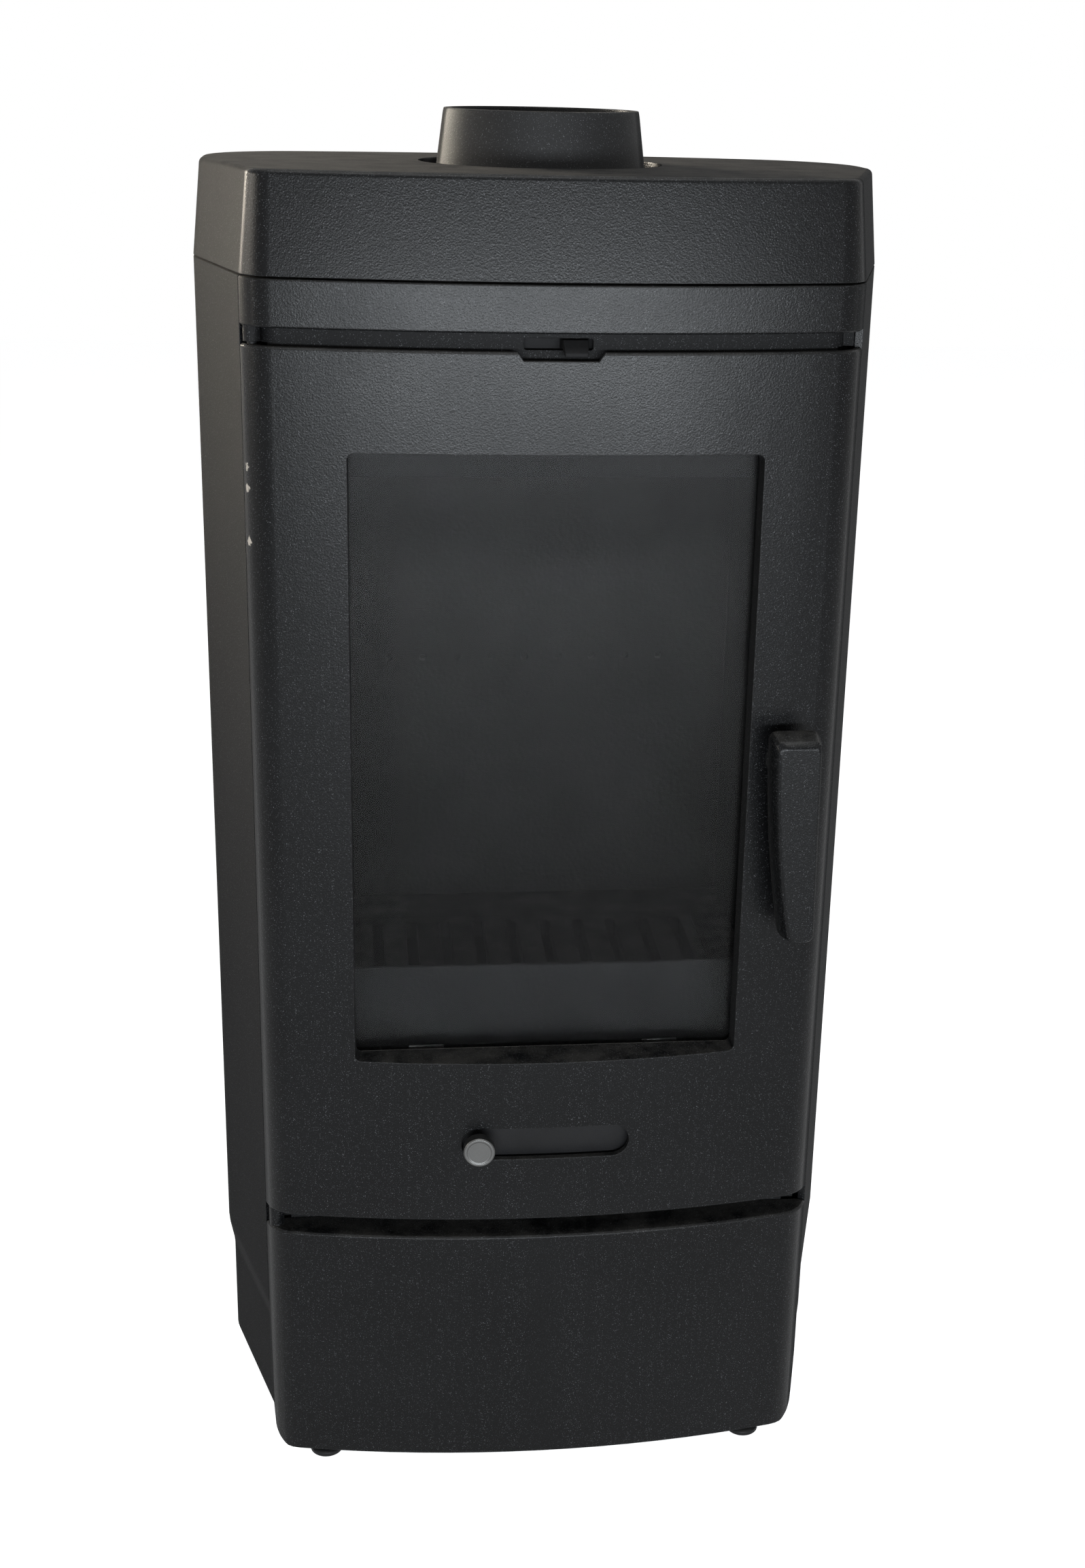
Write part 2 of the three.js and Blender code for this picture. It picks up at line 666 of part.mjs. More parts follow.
// The flue collar: a tapered spigot on a round flange
function flueCollar() {
  const bottom = bodyTop + seat;
  const flangeTop = bottom + 8;
  const grown = (z) => collarTopRadius + (collarTop - z) * collarTaper;
  const profile = [
    [collarBore, bottom], [collarFlange, bottom], [collarFlange, flangeTop - 1.5],
    [collarFlange - 1.5, flangeTop], [grown(flangeTop) + 2, flangeTop],
    [grown(flangeTop + 3), flangeTop + 3], [grown(collarTop - 3), collarTop - 3],
    [collarTopRadius - 0.6, collarTop - 0.6], [collarTopRadius - 1.4, collarTop],
    [collarBore + 0.8, collarTop], [collarBore, collarTop - 1.2], [collarBore, bottom],
  ].map(([r, z]) => new THREE.Vector2(r, z));
  const geometry = new THREE.LatheGeometry(profile, 36);
  geometry.rotateX(Math.PI / 2);
  geometry.translate(0, collarY, 0);
  let collar = solid(geometry);
  for (const [x, y] of collarBoltPlaces) {
    collar = cut(collar, uprightRod(x, y, bottom - 1, flangeTop + 1, 3.4));
  }
  return collar;
}

const collarBoltPlaces = [90, 210, 330].map((angle) => [
  (collarFlange - 8) * Math.cos(degrees(angle)),
  collarY + (collarFlange - 8) * Math.sin(degrees(angle)),
]);

function collarBolt([x, y]) {
  const flangeTop = bodyTop + seat + 8;
  return join(uprightRod(x, y, bodyTop + seat, flangeTop + 1, 3),
    uprightRod(x, y, flangeTop + seat, flangeTop + 5, 5.5, 6));
}

// The lift-off cover: a hollow lid whose walls lean in, with a round opening for the collar
function topCover() {
  const draftAt = (z) => coverDraft * (z - coverBottom) / coverHeight;
  const edge = [0, 45, 90].map((angle) => [
    coverTop - coverEdge + coverEdge * Math.sin(degrees(angle)),
    coverDraft + coverEdge * (1 - Math.cos(degrees(angle))),
  ]);
  const levels = [[coverBottom, 1], [coverBottom + 1, draftAt(coverBottom + 1)], ...edge];
  const ring = (z, inset) =>
    offsetPlan(wholeOutline, inset).map(([x, y]) => new THREE.Vector3(x, y, z));
  const shell = loft(levels.map(([z, inset]) => ring(z, inset)));
  const hollow = loft([
    ring(coverBottom - 1, coverWall), ring(coverTop - coverWall, coverWall + coverDraft),
  ]);
  const hole = uprightRod(0, collarY, coverBottom, coverTop + 1, coverHoleRadius, 40);
  const posts = [[-165, 70], [165, 70], [-165, 262], [165, 262]].map(([x, y]) =>
    uprightRod(x, y, bodyTop + seat, coverTop - coverWall / 2, 9));
  return join(cut(shell, hollow, hole), ...posts);
}

// ---- Firebox and ash chamber --------------------------------------------------------------------

// The ash chamber's floor, on the side panels' ribs
function ashFloor() {
  const front = frameFace + frameWall + 4 + seat;
  const plan = wholeOutline.map((station) => {
    const back = Math.abs(station.heading) > backTurn - 0.01;
    return inward(station, back ? rearPanelInset + skinWall + 2 : skinWall + 1);
  });
  const plate = prism(plan, ashFloorTop - skinWall, ashFloorTop);
  const clear = box(-400, 400, front + 7, 500, 0, 2000);
  const tongueHalf = ashHalfWidth + 20;
  const tongue = box(-tongueHalf, tongueHalf, front, front + 20, ashFloorTop - skinWall, ashFloorTop);
  const returns = sideStations[sideStations.length - 1];
  const notch = [-1, 1].map((side) => uprightRod(side * returns.x, returns.y - 12, 0, 2000, 24));
  return cut(join(common(plate, clear), tongue), ...notch);
}

// Three upright walls that carry the firebox floor
function ashBox() {
  const front = frameFace + frameWall + 13;
  const top = fireFloorTop - castPlate - seat;
  const inner = ashHalfWidth + 10;
  const outside = box(-inner - 6, inner + 6, front, chamberBack, ashFloorTop + seat, top);
  const inside = box(-inner, inner, front - 1, chamberBack - 6, ashFloorTop - 1, top + 1);
  return cut(outside, inside);
}

// The ash pan of bent sheet, with a folded pull on its front
function ashPan() {
  const bottom = ashFloorTop + seat;
  const front = frameFace + frameWall + 9;
  const back = chamberBack - 22;
  const outside = loft([
    panRing(panHalfWidth - 3, front + 2, back - 3, bottom),
    panRing(panHalfWidth, front, back, bottom + panHeight),
  ]);
  const inside = loft([
    panRing(panHalfWidth - 3 - sheet, front + 2 + sheet, back - 3 - sheet, bottom + sheet),
    panRing(panHalfWidth - sheet, front + sheet, back - sheet, bottom + panHeight + 1),
  ]);
  const pullZ = bottom + panHeight - 14;
  const pull = crossBar([
    [front + 1, pullZ], [front - 8, pullZ], [front - 8, pullZ - 6], [front - 6.5, pullZ - 6],
    [front - 6.5, pullZ - 1.5], [front + 1, pullZ - 1.5],
  ], -panPullHalf, panPullHalf);
  return join(cut(outside, inside), cut(pull, inside));
}

function panRing(half, front, back, z) {
  return [[-half, front], [half, front], [half, back], [-half, back]]
    .map(([x, y]) => new THREE.Vector3(x, y, z));
}

// The firebox floor, rebated for the grate
function fireboxFloor() {
  const front = frameFace + frameWall + 13;
  const plate = box(-linerHalfGap - 14, linerHalfGap + 14, front, chamberBack + castPlate + 2,
    fireFloorTop - castPlate, fireFloorTop);
  const rebate = box(-grateHalfWidth - seat, grateHalfWidth + seat, grateSetback - seat,
    grateSetback + grateDepth + seat, fireFloorTop - grateThickness, fireFloorTop + 1);
  const well = box(-grateHalfWidth + grateLedge, grateHalfWidth - grateLedge,
    grateSetback + grateLedge, grateSetback + grateDepth - grateLedge,
    fireFloorTop - castPlate - 1, fireFloorTop);
  return cut(plate, rebate, well);
}

// The grate: a plate in the rebate with deep bars between its slots
function grate() {
  const bottom = fireFloorTop - grateThickness + seat;
  const rim = grateLedge + 1;
  const plate = box(-grateHalfWidth, grateHalfWidth, grateSetback, grateSetback + grateDepth,
    bottom, fireFloorTop);
  const bars = box(-grateHalfWidth + rim, grateHalfWidth - rim, grateSetback + rim,
    grateSetback + grateDepth - rim, bottom - grateBarDepth, bottom + 1);
  const first = -(grateSlotCount - 1) / 2 * grateSlotPitch;
  const slots = Array.from({ length: grateSlotCount }, (_, i) => {
    const x = first + i * grateSlotPitch;
    const y0 = grateSetback + grateRim;
    const y1 = grateSetback + grateDepth - grateRim;
    const r = grateSlotWidth / 2;
    const z0 = bottom - grateBarDepth - 3;
    return join(box(x - r, x + r, y0 + r, y1 - r, z0, fireFloorTop + 1),
      uprightRod(x, y0 + r, z0, fireFloorTop + 1, r),
      uprightRod(x, y1 - r, z0, fireFloorTop + 1, r));
  });
  return cut(join(plate, bars), ...slots);
}

// The log guard stands on the floor's front edge and hangs in front of it
function logGuard() {
  const y = frameFace + frameWall + 6;
  return crossBar([
    [y, guardBottom], [y + guardWall, guardBottom], [y + guardWall, fireFloorTop + seat],
    [y + guardFoot, fireFloorTop + seat], [y + guardFoot, fireFloorTop + 4],
    [y + guardWall + 2, fireFloorTop + 4],
    [y + guardWall, fireFloorTop + 6], [y + guardWall, guardTop - 2],
    [y + guardWall - 2, guardTop], [y, guardTop],
  ], -linerHalfGap + 10, linerHalfGap - 10);
}

// The back liner with its row of secondary air holes
function rearLiner() {
  let liner = box(-linerHalfGap, linerHalfGap, chamberBack, chamberBack + castPlate,
    fireFloorTop + seat, linerRearTop);
  for (let i = 0; i < airHoleCount; i += 1) {
    const x = (i - (airHoleCount - 1) / 2) * airHolePitch;
    liner = cut(liner, levelRod(x, airHoleZ, chamberBack - 1, chamberBack + castPlate + 1,
      airHoleRadius, 10));
  }
  return liner;
}

const linerFront = frameFace + frameWall + 15;
const linerBack = chamberBack + castPlate;
const linerSlope = (linerFrontTop - linerRearTop) / (linerBack - linerFront);
const linerTopAt = (y) => linerRearTop + (linerBack - y) * linerSlope;

// A side liner: a plate whose top edge rises to the front, where the baffle rests
function sideLiner(side) {
  const bottom = fireFloorTop + seat;
  const plate = crossBar([
    [linerFront, bottom], [linerBack, bottom], [linerBack, linerRearTop],
    [linerFront, linerFrontTop],
  ], linerHalfGap + seat, linerHalfGap + seat + castPlate);
  return side < 0 ? plate.mirror([1, 0, 0]) : plate;
}

// The baffle slopes up to the front, and the smoke passes over its front edge
function baffle() {
  const rise = seat + 0.2;
  return crossBar([
    [baffleFront, linerTopAt(baffleFront) + rise], [linerBack, linerTopAt(linerBack) + rise],
    [linerBack, linerTopAt(linerBack) + rise + castPlate],
    [baffleFront, linerTopAt(baffleFront) + rise + castPlate],
  ], -linerHalfGap - castPlate, linerHalfGap + castPlate);
}

// Bent sheet that leads the airwash down behind the glass
function airwashDeflector() {
  const y = frameFace + frameWall + 4 + seat;
  const top = bandBottom + 2;
  return crossBar([
    [y, top - 3], [y + 7, top - 3], [y + 7, windowTop - 28], [y + 10, windowTop - 28],
    [y + 10, top], [y, top],
  ], -fireHalfWidth, fireHalfWidth);
}

// ---- Door ---------------------------------------------------------------------------------------

// Solid space behind the middle of the door's skin, for trimming what stands on its inner face
function behindFace(inset) {
  const face = offsetPlan(frontStations, inset);
  return prism([...face, [face[face.length - 1][0], 70], [face[0][0], 70]], 0, 2000);
}

const windowRing = (grow, y) => {
  const x = windowHalfWidth + grow;
  const shape = roundedRectangle(-x, x, windowBottom - grow, windowTop + grow, windowCorner);
  return shape.extractPoints(4).shape.map((point) => new THREE.Vector3(point.x, point.y, -y));
};

// The tapered window opening, from in front of the face to the glass's seat
function windowCutter() {
  const grow = 10 * rebateDraft / glassSeatDepth;
  const rings = [
    windowRing(-rebateDraft, glassSeatDepth + 5), windowRing(-rebateDraft, glassSeatDepth - 5),
    windowRing(grow, -10),
  ];
  const body = loft(rings.map((ring) => ring.slice(0, -1)));
  return body.rotate([90, 0, 0]);
}

function ropeRing(outward, innerOutward) {
  const x = ropeHalfWidth;
  const outer = [-x - outward, x + outward, ropeBottom - outward, ropeTop + outward];
  const inner = [-x - innerOutward, x + innerOutward, ropeBottom - innerOutward,
    ropeTop + innerOutward];
  return rectangularRing(outer, 16 + outward, inner, 16 + innerOutward);
}

function stadium(half, height, z) {
  const r = height / 2 - 0.05;
  return roundedRectangle(-half, half, z - height / 2, z + height / 2, r);
}

function door() {
  const skin = shapedWall(frontStations, [
    [doorBottom, 1.5, doorWall], [doorBottom + 1.5, 0, doorWall],
    [doorTop - 1.5, 0, doorWall], [doorTop, 1.5, doorWall],
  ]);
  const inside = behindFace(doorWall / 2);
  const rim = roundedRectangle(-windowHalfWidth - 6, windowHalfWidth + 6,
    windowBottom - 6, windowTop + 6, windowCorner + 6);
  const seatPlate = roundedRectangle(-ropeHalfWidth, ropeHalfWidth,
    windowBottom - 34, ropeTop, 8);
  const inner = common(join(
    uprightPlate(ropeRing(ropeWallOuter, -ropeWallOuter), 0, doorBack),
    uprightPlate(rim, 0, glassSeatDepth),
    uprightPlate(seatPlate, glassSeatDepth - 5.4, glassSeatDepth),
    levelRod(handleX, spindleZ, 0, doorBack - 11, 9),
  ), inside);
  const boss = levelRod(handleX, spindleZ, faceDepth(handleX) - bossRise, faceDepth(handleX) + 8,
    bossRadius, 24);
  const hingeBosses = [
    uprightRod(hingeX, hingeY, doorBottom, doorBottom + hingePinBite, hingeBossRadius),
    uprightRod(hingeX, hingeY, doorTop - 1 - hingePinBite, doorTop - 1, hingeBossRadius),
  ];
  const groove = uprightPlate(ropeRing(ropeGroove / 2, -ropeGroove / 2),
    frameFace - seat - ropeDiameter - 0.5, doorBack + 1);
  const pinBores = uprightRod(hingeX, hingeY, doorBottom - 1, doorTop,
    hingePinRadius + boreClearance);
  const spindleBore = levelRod(handleX, spindleZ, -20, doorBack, spindleRadius + boreClearance);
  const airSlot = uprightPlate(stadium(airSlotHalf, airSlotHeight, slotZ), -10, 20, 8);
  const pocketStations = arcStations(0, frontBowRadius, frontBowRadius,
    (airSlotHalf + 3) / frontBowRadius, (3 * airSlotHalf - knobRadius) / frontBowRadius, 6);
  const pocket = shapedWall(pocketStations, [
    [slotZ - airPlateHeight / 2 - 1, airPlateDepth - 0.5, airPlateDepth + airPlateThickness + 0.5],
    [slotZ + airPlateHeight / 2 + 1, airPlateDepth - 0.5, airPlateDepth + airPlateThickness + 0.5],
  ]);
  const notch = uprightPlate(new THREE.Shape([
    new THREE.Vector2(-notchHalfWidth, doorTop + 1), new THREE.Vector2(notchHalfWidth, doorTop + 1),
    new THREE.Vector2(notchHalfWidth - 5, doorTop - notchDepth),
    new THREE.Vector2(-notchHalfWidth + 5, doorTop - notchDepth),
  ]), -5, 12);
  const screwHoles = clipPlaces.map(([x, z]) =>
    levelRod(x, z, glassSeatDepth - 8, glassSeatDepth + 1, 2.3, 10));
  return cut(join(skin, inner, boss, ...hingeBosses), windowCutter(), groove, pinBores,
    spindleBore, airSlot, pocket, notch, ...screwHoles);
}

const clipPlaces = [-95, 95].flatMap((x) => [[x, glassTop + 6], [x, glassBottom - 6]]);

function doorGlass() {
  return box(-glassHalfWidth, glassHalfWidth, glassY, glassY + glassThickness,
    glassBottom, glassTop);
}

function glassGasket() {
  const shape = rectangularRing(
    [-glassHalfWidth, glassHalfWidth, glassBottom, glassTop], 4,
    [-glassHalfWidth + 6, glassHalfWidth - 6, glassBottom + 6, glassTop - 6], 3);
  return uprightPlate(shape, glassSeatDepth + seat, glassSeatDepth + seat + gasketThickness, 2);
}

// A clip hooks over the glass's edge and is screwed to the door's seat
function glassClip([x, z]) {
  const down = z < (glassBottom + glassTop) / 2 ? 1 : -1;
  const back = glassY + glassThickness + seat;
  const section = [
    [glassSeatDepth + seat, z - 5 * down], [glassSeatDepth + seat, z + 5 * down],
    [back, z + 5 * down], [back, z + 13 * down], [back + 1.8, z + 13 * down],
    [back + 1.8, z - 5 * down],
  ];
  const hole = levelRod(x, z, glassSeatDepth - 1, back + 4, 2.3, 10);
  return cut(crossBar(section, x - 14, x + 14), hole);
}

function clipScrew([x, z]) {
  const y = glassY + glassThickness + seat + 1.8 + seat;
  return join(levelRod(x, z, glassSeatDepth - 4, y + 1, 2, 10), levelRod(x, z, y, y + 2.4, 4));
}

// The sealing rope in the door's groove, just clear of the frame when the door is shut
function doorRope() {
  const half = ropeDiameter / 2;
  const bevel = half * 0.6;
  const shape = ropeRing(half - bevel, -half + bevel);
  const geometry = new THREE.ExtrudeGeometry(shape, {
    depth: ropeDiameter - 2 * bevel, bevelThickness: bevel, bevelSize: bevel, bevelSegments: 2,
    curveSegments: 4,
  });
  geometry.rotateX(Math.PI / 2);
  geometry.translate(0, frameFace - seat - bevel, 0);
  return solid(geometry);
}

function hingePin(z0, z1) {
  return uprightRod(hingeX, hingeY, z0, z1, hingePinRadius, 16);
}

// ---- Handle and latch ---------------------------------------------------------------------------

// One section of the lever at a depth: its left edge curves in towards the bottom, its right edge
// leans out a little, and its ends are rounded
function leverRing(y, leftIn, rightIn, topIn, bottomIn) {
  const length = handleTopRise + handleDrop;
  const top = handleTopRise - topIn;
  const bottom = -handleDrop + bottomIn;
  const corner = handleCorner;
  const edge = (z) => {
    const share = (handleTopRise - z) / length;
    const near = Math.min(top - z, z - bottom, corner);
    const round = corner - Math.sqrt(corner ** 2 - (corner - near) ** 2);
    const left = -handleLeft + handleWaist * share ** 2 + leftIn;
    return [left + round, handleRight + handleFlare * share - rightIn - round];
  };
  const steps = [0, 0.15, 0.5, 1].map((share) => share * corner);
  const middle = [0.25, 0.5, 0.75].map((share) => top + (bottom - top) * share);
  const heights = [...steps.map((d) => top - d), ...middle, ...steps.reverse().map((d) => bottom + d)];
  const right = heights.map((z) => [edge(z)[1], z]);
  const left = heights.map((z) => [edge(z)[0], z]).reverse();
  return [...right, ...left].reverse().map(([x, z]) => new THREE.Vector3(x, z, -y));
}

function handleLever() {
  const back = faceDepth(handleX) - handleStandOff;
  const front = back - handleThickness;
  const body = loft([
    leverRing(back, 2, 2, 2, 2),
    leverRing(back - 2, 0, 0, 0, 0),
    leverRing(back - 8, 0.3, 0.2, 0.5, 0.2),
    leverRing(front + 4, 2.8, 1, 4, 0.8),
    leverRing(front + 1, 5, 2, 7, 1.6),
    leverRing(front, 7, 3.4, 9.2, 2.4),
  ]).rotate([90, 0, 0]).translate([handleX, 0, spindleZ]);
  return cut(body, levelRod(handleX, spindleZ, back - 12, back + 1, spindleRadius + boreClearance));
}

// The spindle, stepped down where the cam and its nut sit
function handleSpindle() {
  const front = faceDepth(handleX) - handleStandOff - 11.7;
  return join(
    levelRod(handleX, spindleZ, front, camFront - 0.4, spindleRadius),
    levelRod(handleX, spindleZ, front + 2, camFront + camThickness, 4.6),
    levelRod(handleX, spindleZ, front + 2, camFront + camThickness + 5, 3.6),
  );
}

const camFront = doorBack - 10.4;

// The cam's nose points at the keeper when the lever hangs down
function latchCam() {
  const hub = levelRod(handleX, spindleZ, camFront, camFront + camThickness, camHubRadius, 20);
  const tip = handleX + camReach;
  const outline = [
    [handleX, -6.5], [tip - 1, -4], [tip, -3], [tip, 3], [tip - 1, 4], [handleX, 6.5],
  ].map(([x, z]) => new THREE.Vector2(x, spindleZ + z));
  const nose = uprightPlate(new THREE.Shape(outline), camFront, camFront + camThickness);
  const bore = levelRod(handleX, spindleZ, camFront - 1, camFront + camThickness + 1,
    4.6 + boreClearance);
  return cut(join(hub, nose), bore);
}

function camNut() {
  const y = camFront + camThickness + seat;
  return cut(levelRod(handleX, spindleZ, y, y + 4, 6.5, 6),
    levelRod(handleX, spindleZ, y - 1, y + 5, 3.6 + boreClearance));
}

// ---- Primary air slide --------------------------------------------------------------------------

// The slide follows the door's bow, so it turns about the bow's centre. It is built at the middle
// of the slot and turned to its place.
const slideStart = -(airSlotHalf - airSlotHeight / 2) / frontBowRadius;

function aboutBow(body, angle) {
  const turned = body.translate([0, -frontBowRadius, 0]).rotate([0, 0, angle * 180 / Math.PI]);
  return turned.translate([0, frontBowRadius, 0]);
}

function airSlidePlate() {
  const half = (airSlotHalf + 2) / frontBowRadius;
  const stations = arcStations(0, frontBowRadius, frontBowRadius, -half, half, 8);
  return shapedWall(stations, [
    [slotZ - airPlateHeight / 2, airPlateDepth, airPlateDepth + airPlateThickness],
    [slotZ + airPlateHeight / 2, airPlateDepth, airPlateDepth + airPlateThickness],
  ]);
}

function airKnob() {
  const back = -knobGap;
  const front = back - knobThickness;
  const profile = [
    [0, front + 0.6], [knobRadius - 3.4, front + 0.6], [knobRadius - 2.6, front],
    [knobRadius - 1, front], [knobRadius, front + 1], [knobRadius, back - 0.8],
    [knobRadius - 0.8, back], [knobStemRadius, back], [knobStemRadius, airPlateDepth - seat],
    [0, airPlateDepth - seat],
  ].map(([r, y]) => new THREE.Vector2(r, y));
  const geometry = new THREE.LatheGeometry(profile, 24);
  geometry.translate(0, 0, slotZ);
  return aboutBow(solid(geometry), slideStart);
}

// A curved rail on the door's inner face, with a lip behind the plate's edge
function airSlideRail(side) {
  const from = -(airSlotHalf + 6) / frontBowRadius;
  const to = (ropeHalfWidth - ropeWallOuter - 2) / frontBowRadius;
  const stations = arcStations(0, frontBowRadius, frontBowRadius, from, to, 9);
  const edge = slotZ + side * (airPlateHeight / 2 + seat);
  const near = Math.min(edge, edge + side * 4);
  const depth = airPlateDepth + airPlateThickness;
  const bar = shapedWall(stations, [
    [near, doorWall + seat, depth + 2], [near + 4, doorWall + seat, depth + 2],
  ]);
  const lipNear = Math.min(edge + side, edge - side * 3);
  const lip = shapedWall(stations, [
    [lipNear, depth + 0.5, depth + 2], [lipNear + 4, depth + 0.5, depth + 2],
  ]);
  return join(bar, lip);
}

// ---- Materials and scene ------------------------------------------------------------------------

const material = (color, roughness, metalness) =>
  new THREE.MeshStandardMaterial({ color, roughness, metalness });

const castPaint = () => material(0x2a2b2d, 0.72, 0.25);
const rawIron = () => material(0x1d1c1b, 0.85, 0.3);
const steel = () => material(0x6f6f70, 0.45, 0.85);
const blackSteel = () => material(0x222224, 0.6, 0.5);
const nickel = () => material(0xa9a8a5, 0.32, 0.95);
const fibre = () => material(0x3b3936, 0.95, 0);
const paleFibre = () => material(0x8f8b84, 0.95, 0);
const pane = () => {
  const glass = material(0x1b1d1e, 0.08, 0);
  glass.transparent = true;
  glass.opacity = 0.5;
  return glass;
};

const body = new THREE.Group();

function piece(name, solidBody, look) {
  const mesh = new THREE.Mesh(geometryOf(solidBody), look);
  mesh.name = name;
  body.add(mesh);
}

piece('base_plate', basePlate(), rawIron());
footPlaces.forEach(([x, y], i) => {
  const name = ['foot_front_left', 'foot_front_right', 'foot_rear_left', 'foot_rear_right'][i];
  piece(name, levellingFoot().translate([x, y, 0]), blackSteel());
});
piece('front_apron', frontApron(), castPaint());
piece('side_panel_left', sidePanel(-1), castPaint());
piece('side_panel_right', sidePanel(1), castPaint());
piece('rear_panel', rearPanel(), rawIron());
piece('heat_shield', heatShield(), blackSteel());
shieldBoltPlaces.forEach((place, i) => piece(`shield_bolt_${i + 1}`, shieldBolt(place), steel()));
piece('front_frame', frontFrame(), castPaint());
piece('airwash_slider', airwashSlider(), blackSteel());
piece('airwash_guide', airwashGuide(), blackSteel());
piece('latch_keeper', latchKeeper(), steel());
keeperScrewHeights.forEach((z, i) => piece(`keeper_screw_${i + 1}`, keeperScrew(z), steel()));
piece('top_plate', topPlate(), rawIron());
piece('flue_collar', flueCollar(), castPaint());
collarBoltPlaces.forEach((place, i) => piece(`collar_bolt_${i + 1}`, collarBolt(place), steel()));
piece('top_cover', topCover(), castPaint());
piece('ash_floor', ashFloor(), rawIron());
piece('ash_box', ashBox(), rawIron());
piece('ash_pan', ashPan(), steel());
piece('firebox_floor', fireboxFloor(), rawIron());
piece('grate', grate(), rawIron());
piece('log_guard', logGuard(), rawIron());
piece('rear_liner', rearLiner(), rawIron());
piece('side_liner_left', sideLiner(-1), rawIron());
piece('side_liner_right', sideLiner(1), rawIron());
piece('baffle', baffle(), rawIron());
piece('airwash_deflector', airwashDeflector(), blackSteel());
piece('door', door(), castPaint());
piece('door_glass', doorGlass(), pane());
piece('glass_gasket', glassGasket(), paleFibre());
clipPlaces.forEach((place, i) => {
  piece(`glass_clip_${i + 1}`, glassClip(place), steel());
  piece(`clip_screw_${i + 1}`, clipScrew(place), steel());
});
piece('door_rope', doorRope(), fibre());
piece('hinge_pin_lower', hingePin(apronTop - 1.5, doorBottom + hingePinBite - 2), steel());
piece('hinge_pin_upper', hingePin(doorTop + 1 - hingePinBite, bandBottom - 1.5), steel());
piece('handle', handleLever(), castPaint());
piece('handle_spindle', handleSpindle(), steel());
piece('latch_cam', latchCam(), steel());
piece('cam_nut', camNut(), steel());
piece('air_slide_plate', airSlidePlate(), blackSteel());
piece('air_knob', airKnob(), nickel());
piece('air_rail_lower', airSlideRail(-1), blackSteel());
piece('air_rail_upper', airSlideRail(1), blackSteel());

// The origin goes to the middle of the footprint's box: the lever is foremost, the bolts rearmost
const foremost = faceDepth(handleX) - handleStandOff - handleThickness;
const rearmost = shieldY(shieldBoltX) + 4.9;
body.position.y = -(foremost + Math.max(rearmost, bodyDepth)) / 2;

const stove = new THREE.Group();
stove.add(body);

export default stove;
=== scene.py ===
import math

import bpy
from mathutils import Matrix, Vector


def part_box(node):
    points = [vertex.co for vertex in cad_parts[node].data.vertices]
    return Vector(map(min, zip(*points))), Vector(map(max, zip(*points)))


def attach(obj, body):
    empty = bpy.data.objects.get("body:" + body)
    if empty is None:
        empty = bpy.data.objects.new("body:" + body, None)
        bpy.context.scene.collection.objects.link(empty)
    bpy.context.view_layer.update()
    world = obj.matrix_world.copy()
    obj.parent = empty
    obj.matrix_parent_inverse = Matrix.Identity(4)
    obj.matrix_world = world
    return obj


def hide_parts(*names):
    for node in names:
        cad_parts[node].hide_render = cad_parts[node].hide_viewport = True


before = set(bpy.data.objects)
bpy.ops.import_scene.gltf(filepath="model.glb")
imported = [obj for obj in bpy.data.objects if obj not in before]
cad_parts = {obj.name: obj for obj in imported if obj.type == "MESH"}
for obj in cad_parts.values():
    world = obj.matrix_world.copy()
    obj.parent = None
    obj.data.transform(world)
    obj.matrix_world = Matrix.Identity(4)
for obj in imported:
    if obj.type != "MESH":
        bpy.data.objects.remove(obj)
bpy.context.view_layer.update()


# ---- Camera ----
# The stove is seen from a little left of its middle and from the height of its collar, looking
# down on it. The camera is rolled by a degree, and its picture is 1596 by 2307 pixels.

PICTURE_WIDTH = 1596
FOCAL_PIXELS = 3036.23
OPTICAL_CENTRE = (844.29, 1141.72)
FRAME_CENTRE = (798, 1153.5)
SENSOR_WIDTH = 36
CAMERA_PLACE = Vector((-0.15609, -1.6205, 1.13698))
CAMERA_TURN = math.radians(-6.67)
CAMERA_TILT = math.radians(90 - 19.28)
CAMERA_ROLL = math.radians(1.37)

camera_data = bpy.data.cameras.new("camera")
camera_data.sensor_fit = "HORIZONTAL"
camera_data.sensor_width = SENSOR_WIDTH
camera_data.lens = SENSOR_WIDTH * FOCAL_PIXELS / PICTURE_WIDTH
camera_data.shift_x = (FRAME_CENTRE[0] - OPTICAL_CENTRE[0]) / PICTURE_WIDTH
camera_data.shift_y = (OPTICAL_CENTRE[1] - FRAME_CENTRE[1]) / PICTURE_WIDTH
camera_data.clip_start = 0.05
camera_data.clip_end = 60
camera = bpy.data.objects.new("camera", camera_data)
bpy.context.scene.collection.objects.link(camera)
camera.matrix_world = (
    Matrix.Translation(CAMERA_PLACE)
    @ Matrix.Rotation(CAMERA_TURN, 4, "Z")
    @ Matrix.Rotation(CAMERA_TILT, 4, "X")
    @ Matrix.Rotation(CAMERA_ROLL, 4, "Z")
)
bpy.context.scene.camera = camera
bpy.context.scene.view_settings.view_transform = "Standard"


# ---- Floor and room ----
# A pale matt floor under the stove and an even pale room. To the camera, and in gloss and glass,
# both are white, and the floor still darkens in the stove's shadow.

FLOOR_SIZE = 14
FLOOR_COLOUR = (0.60, 0.60, 0.60, 1)
FLOOR_GLOW = 0.80
ROOM_COLOUR = (0.98, 0.99, 1.0, 1)
ROOM_LIGHT = 0.27
WHITE = (1, 1, 1, 1)


def feed(tree, value, socket):
    """Links an output to an input, or sets the input to a plain number or colour."""
    if isinstance(value, bpy.types.NodeSocket):
        tree.links.new(value, socket)
    else:
        socket.default_value = value


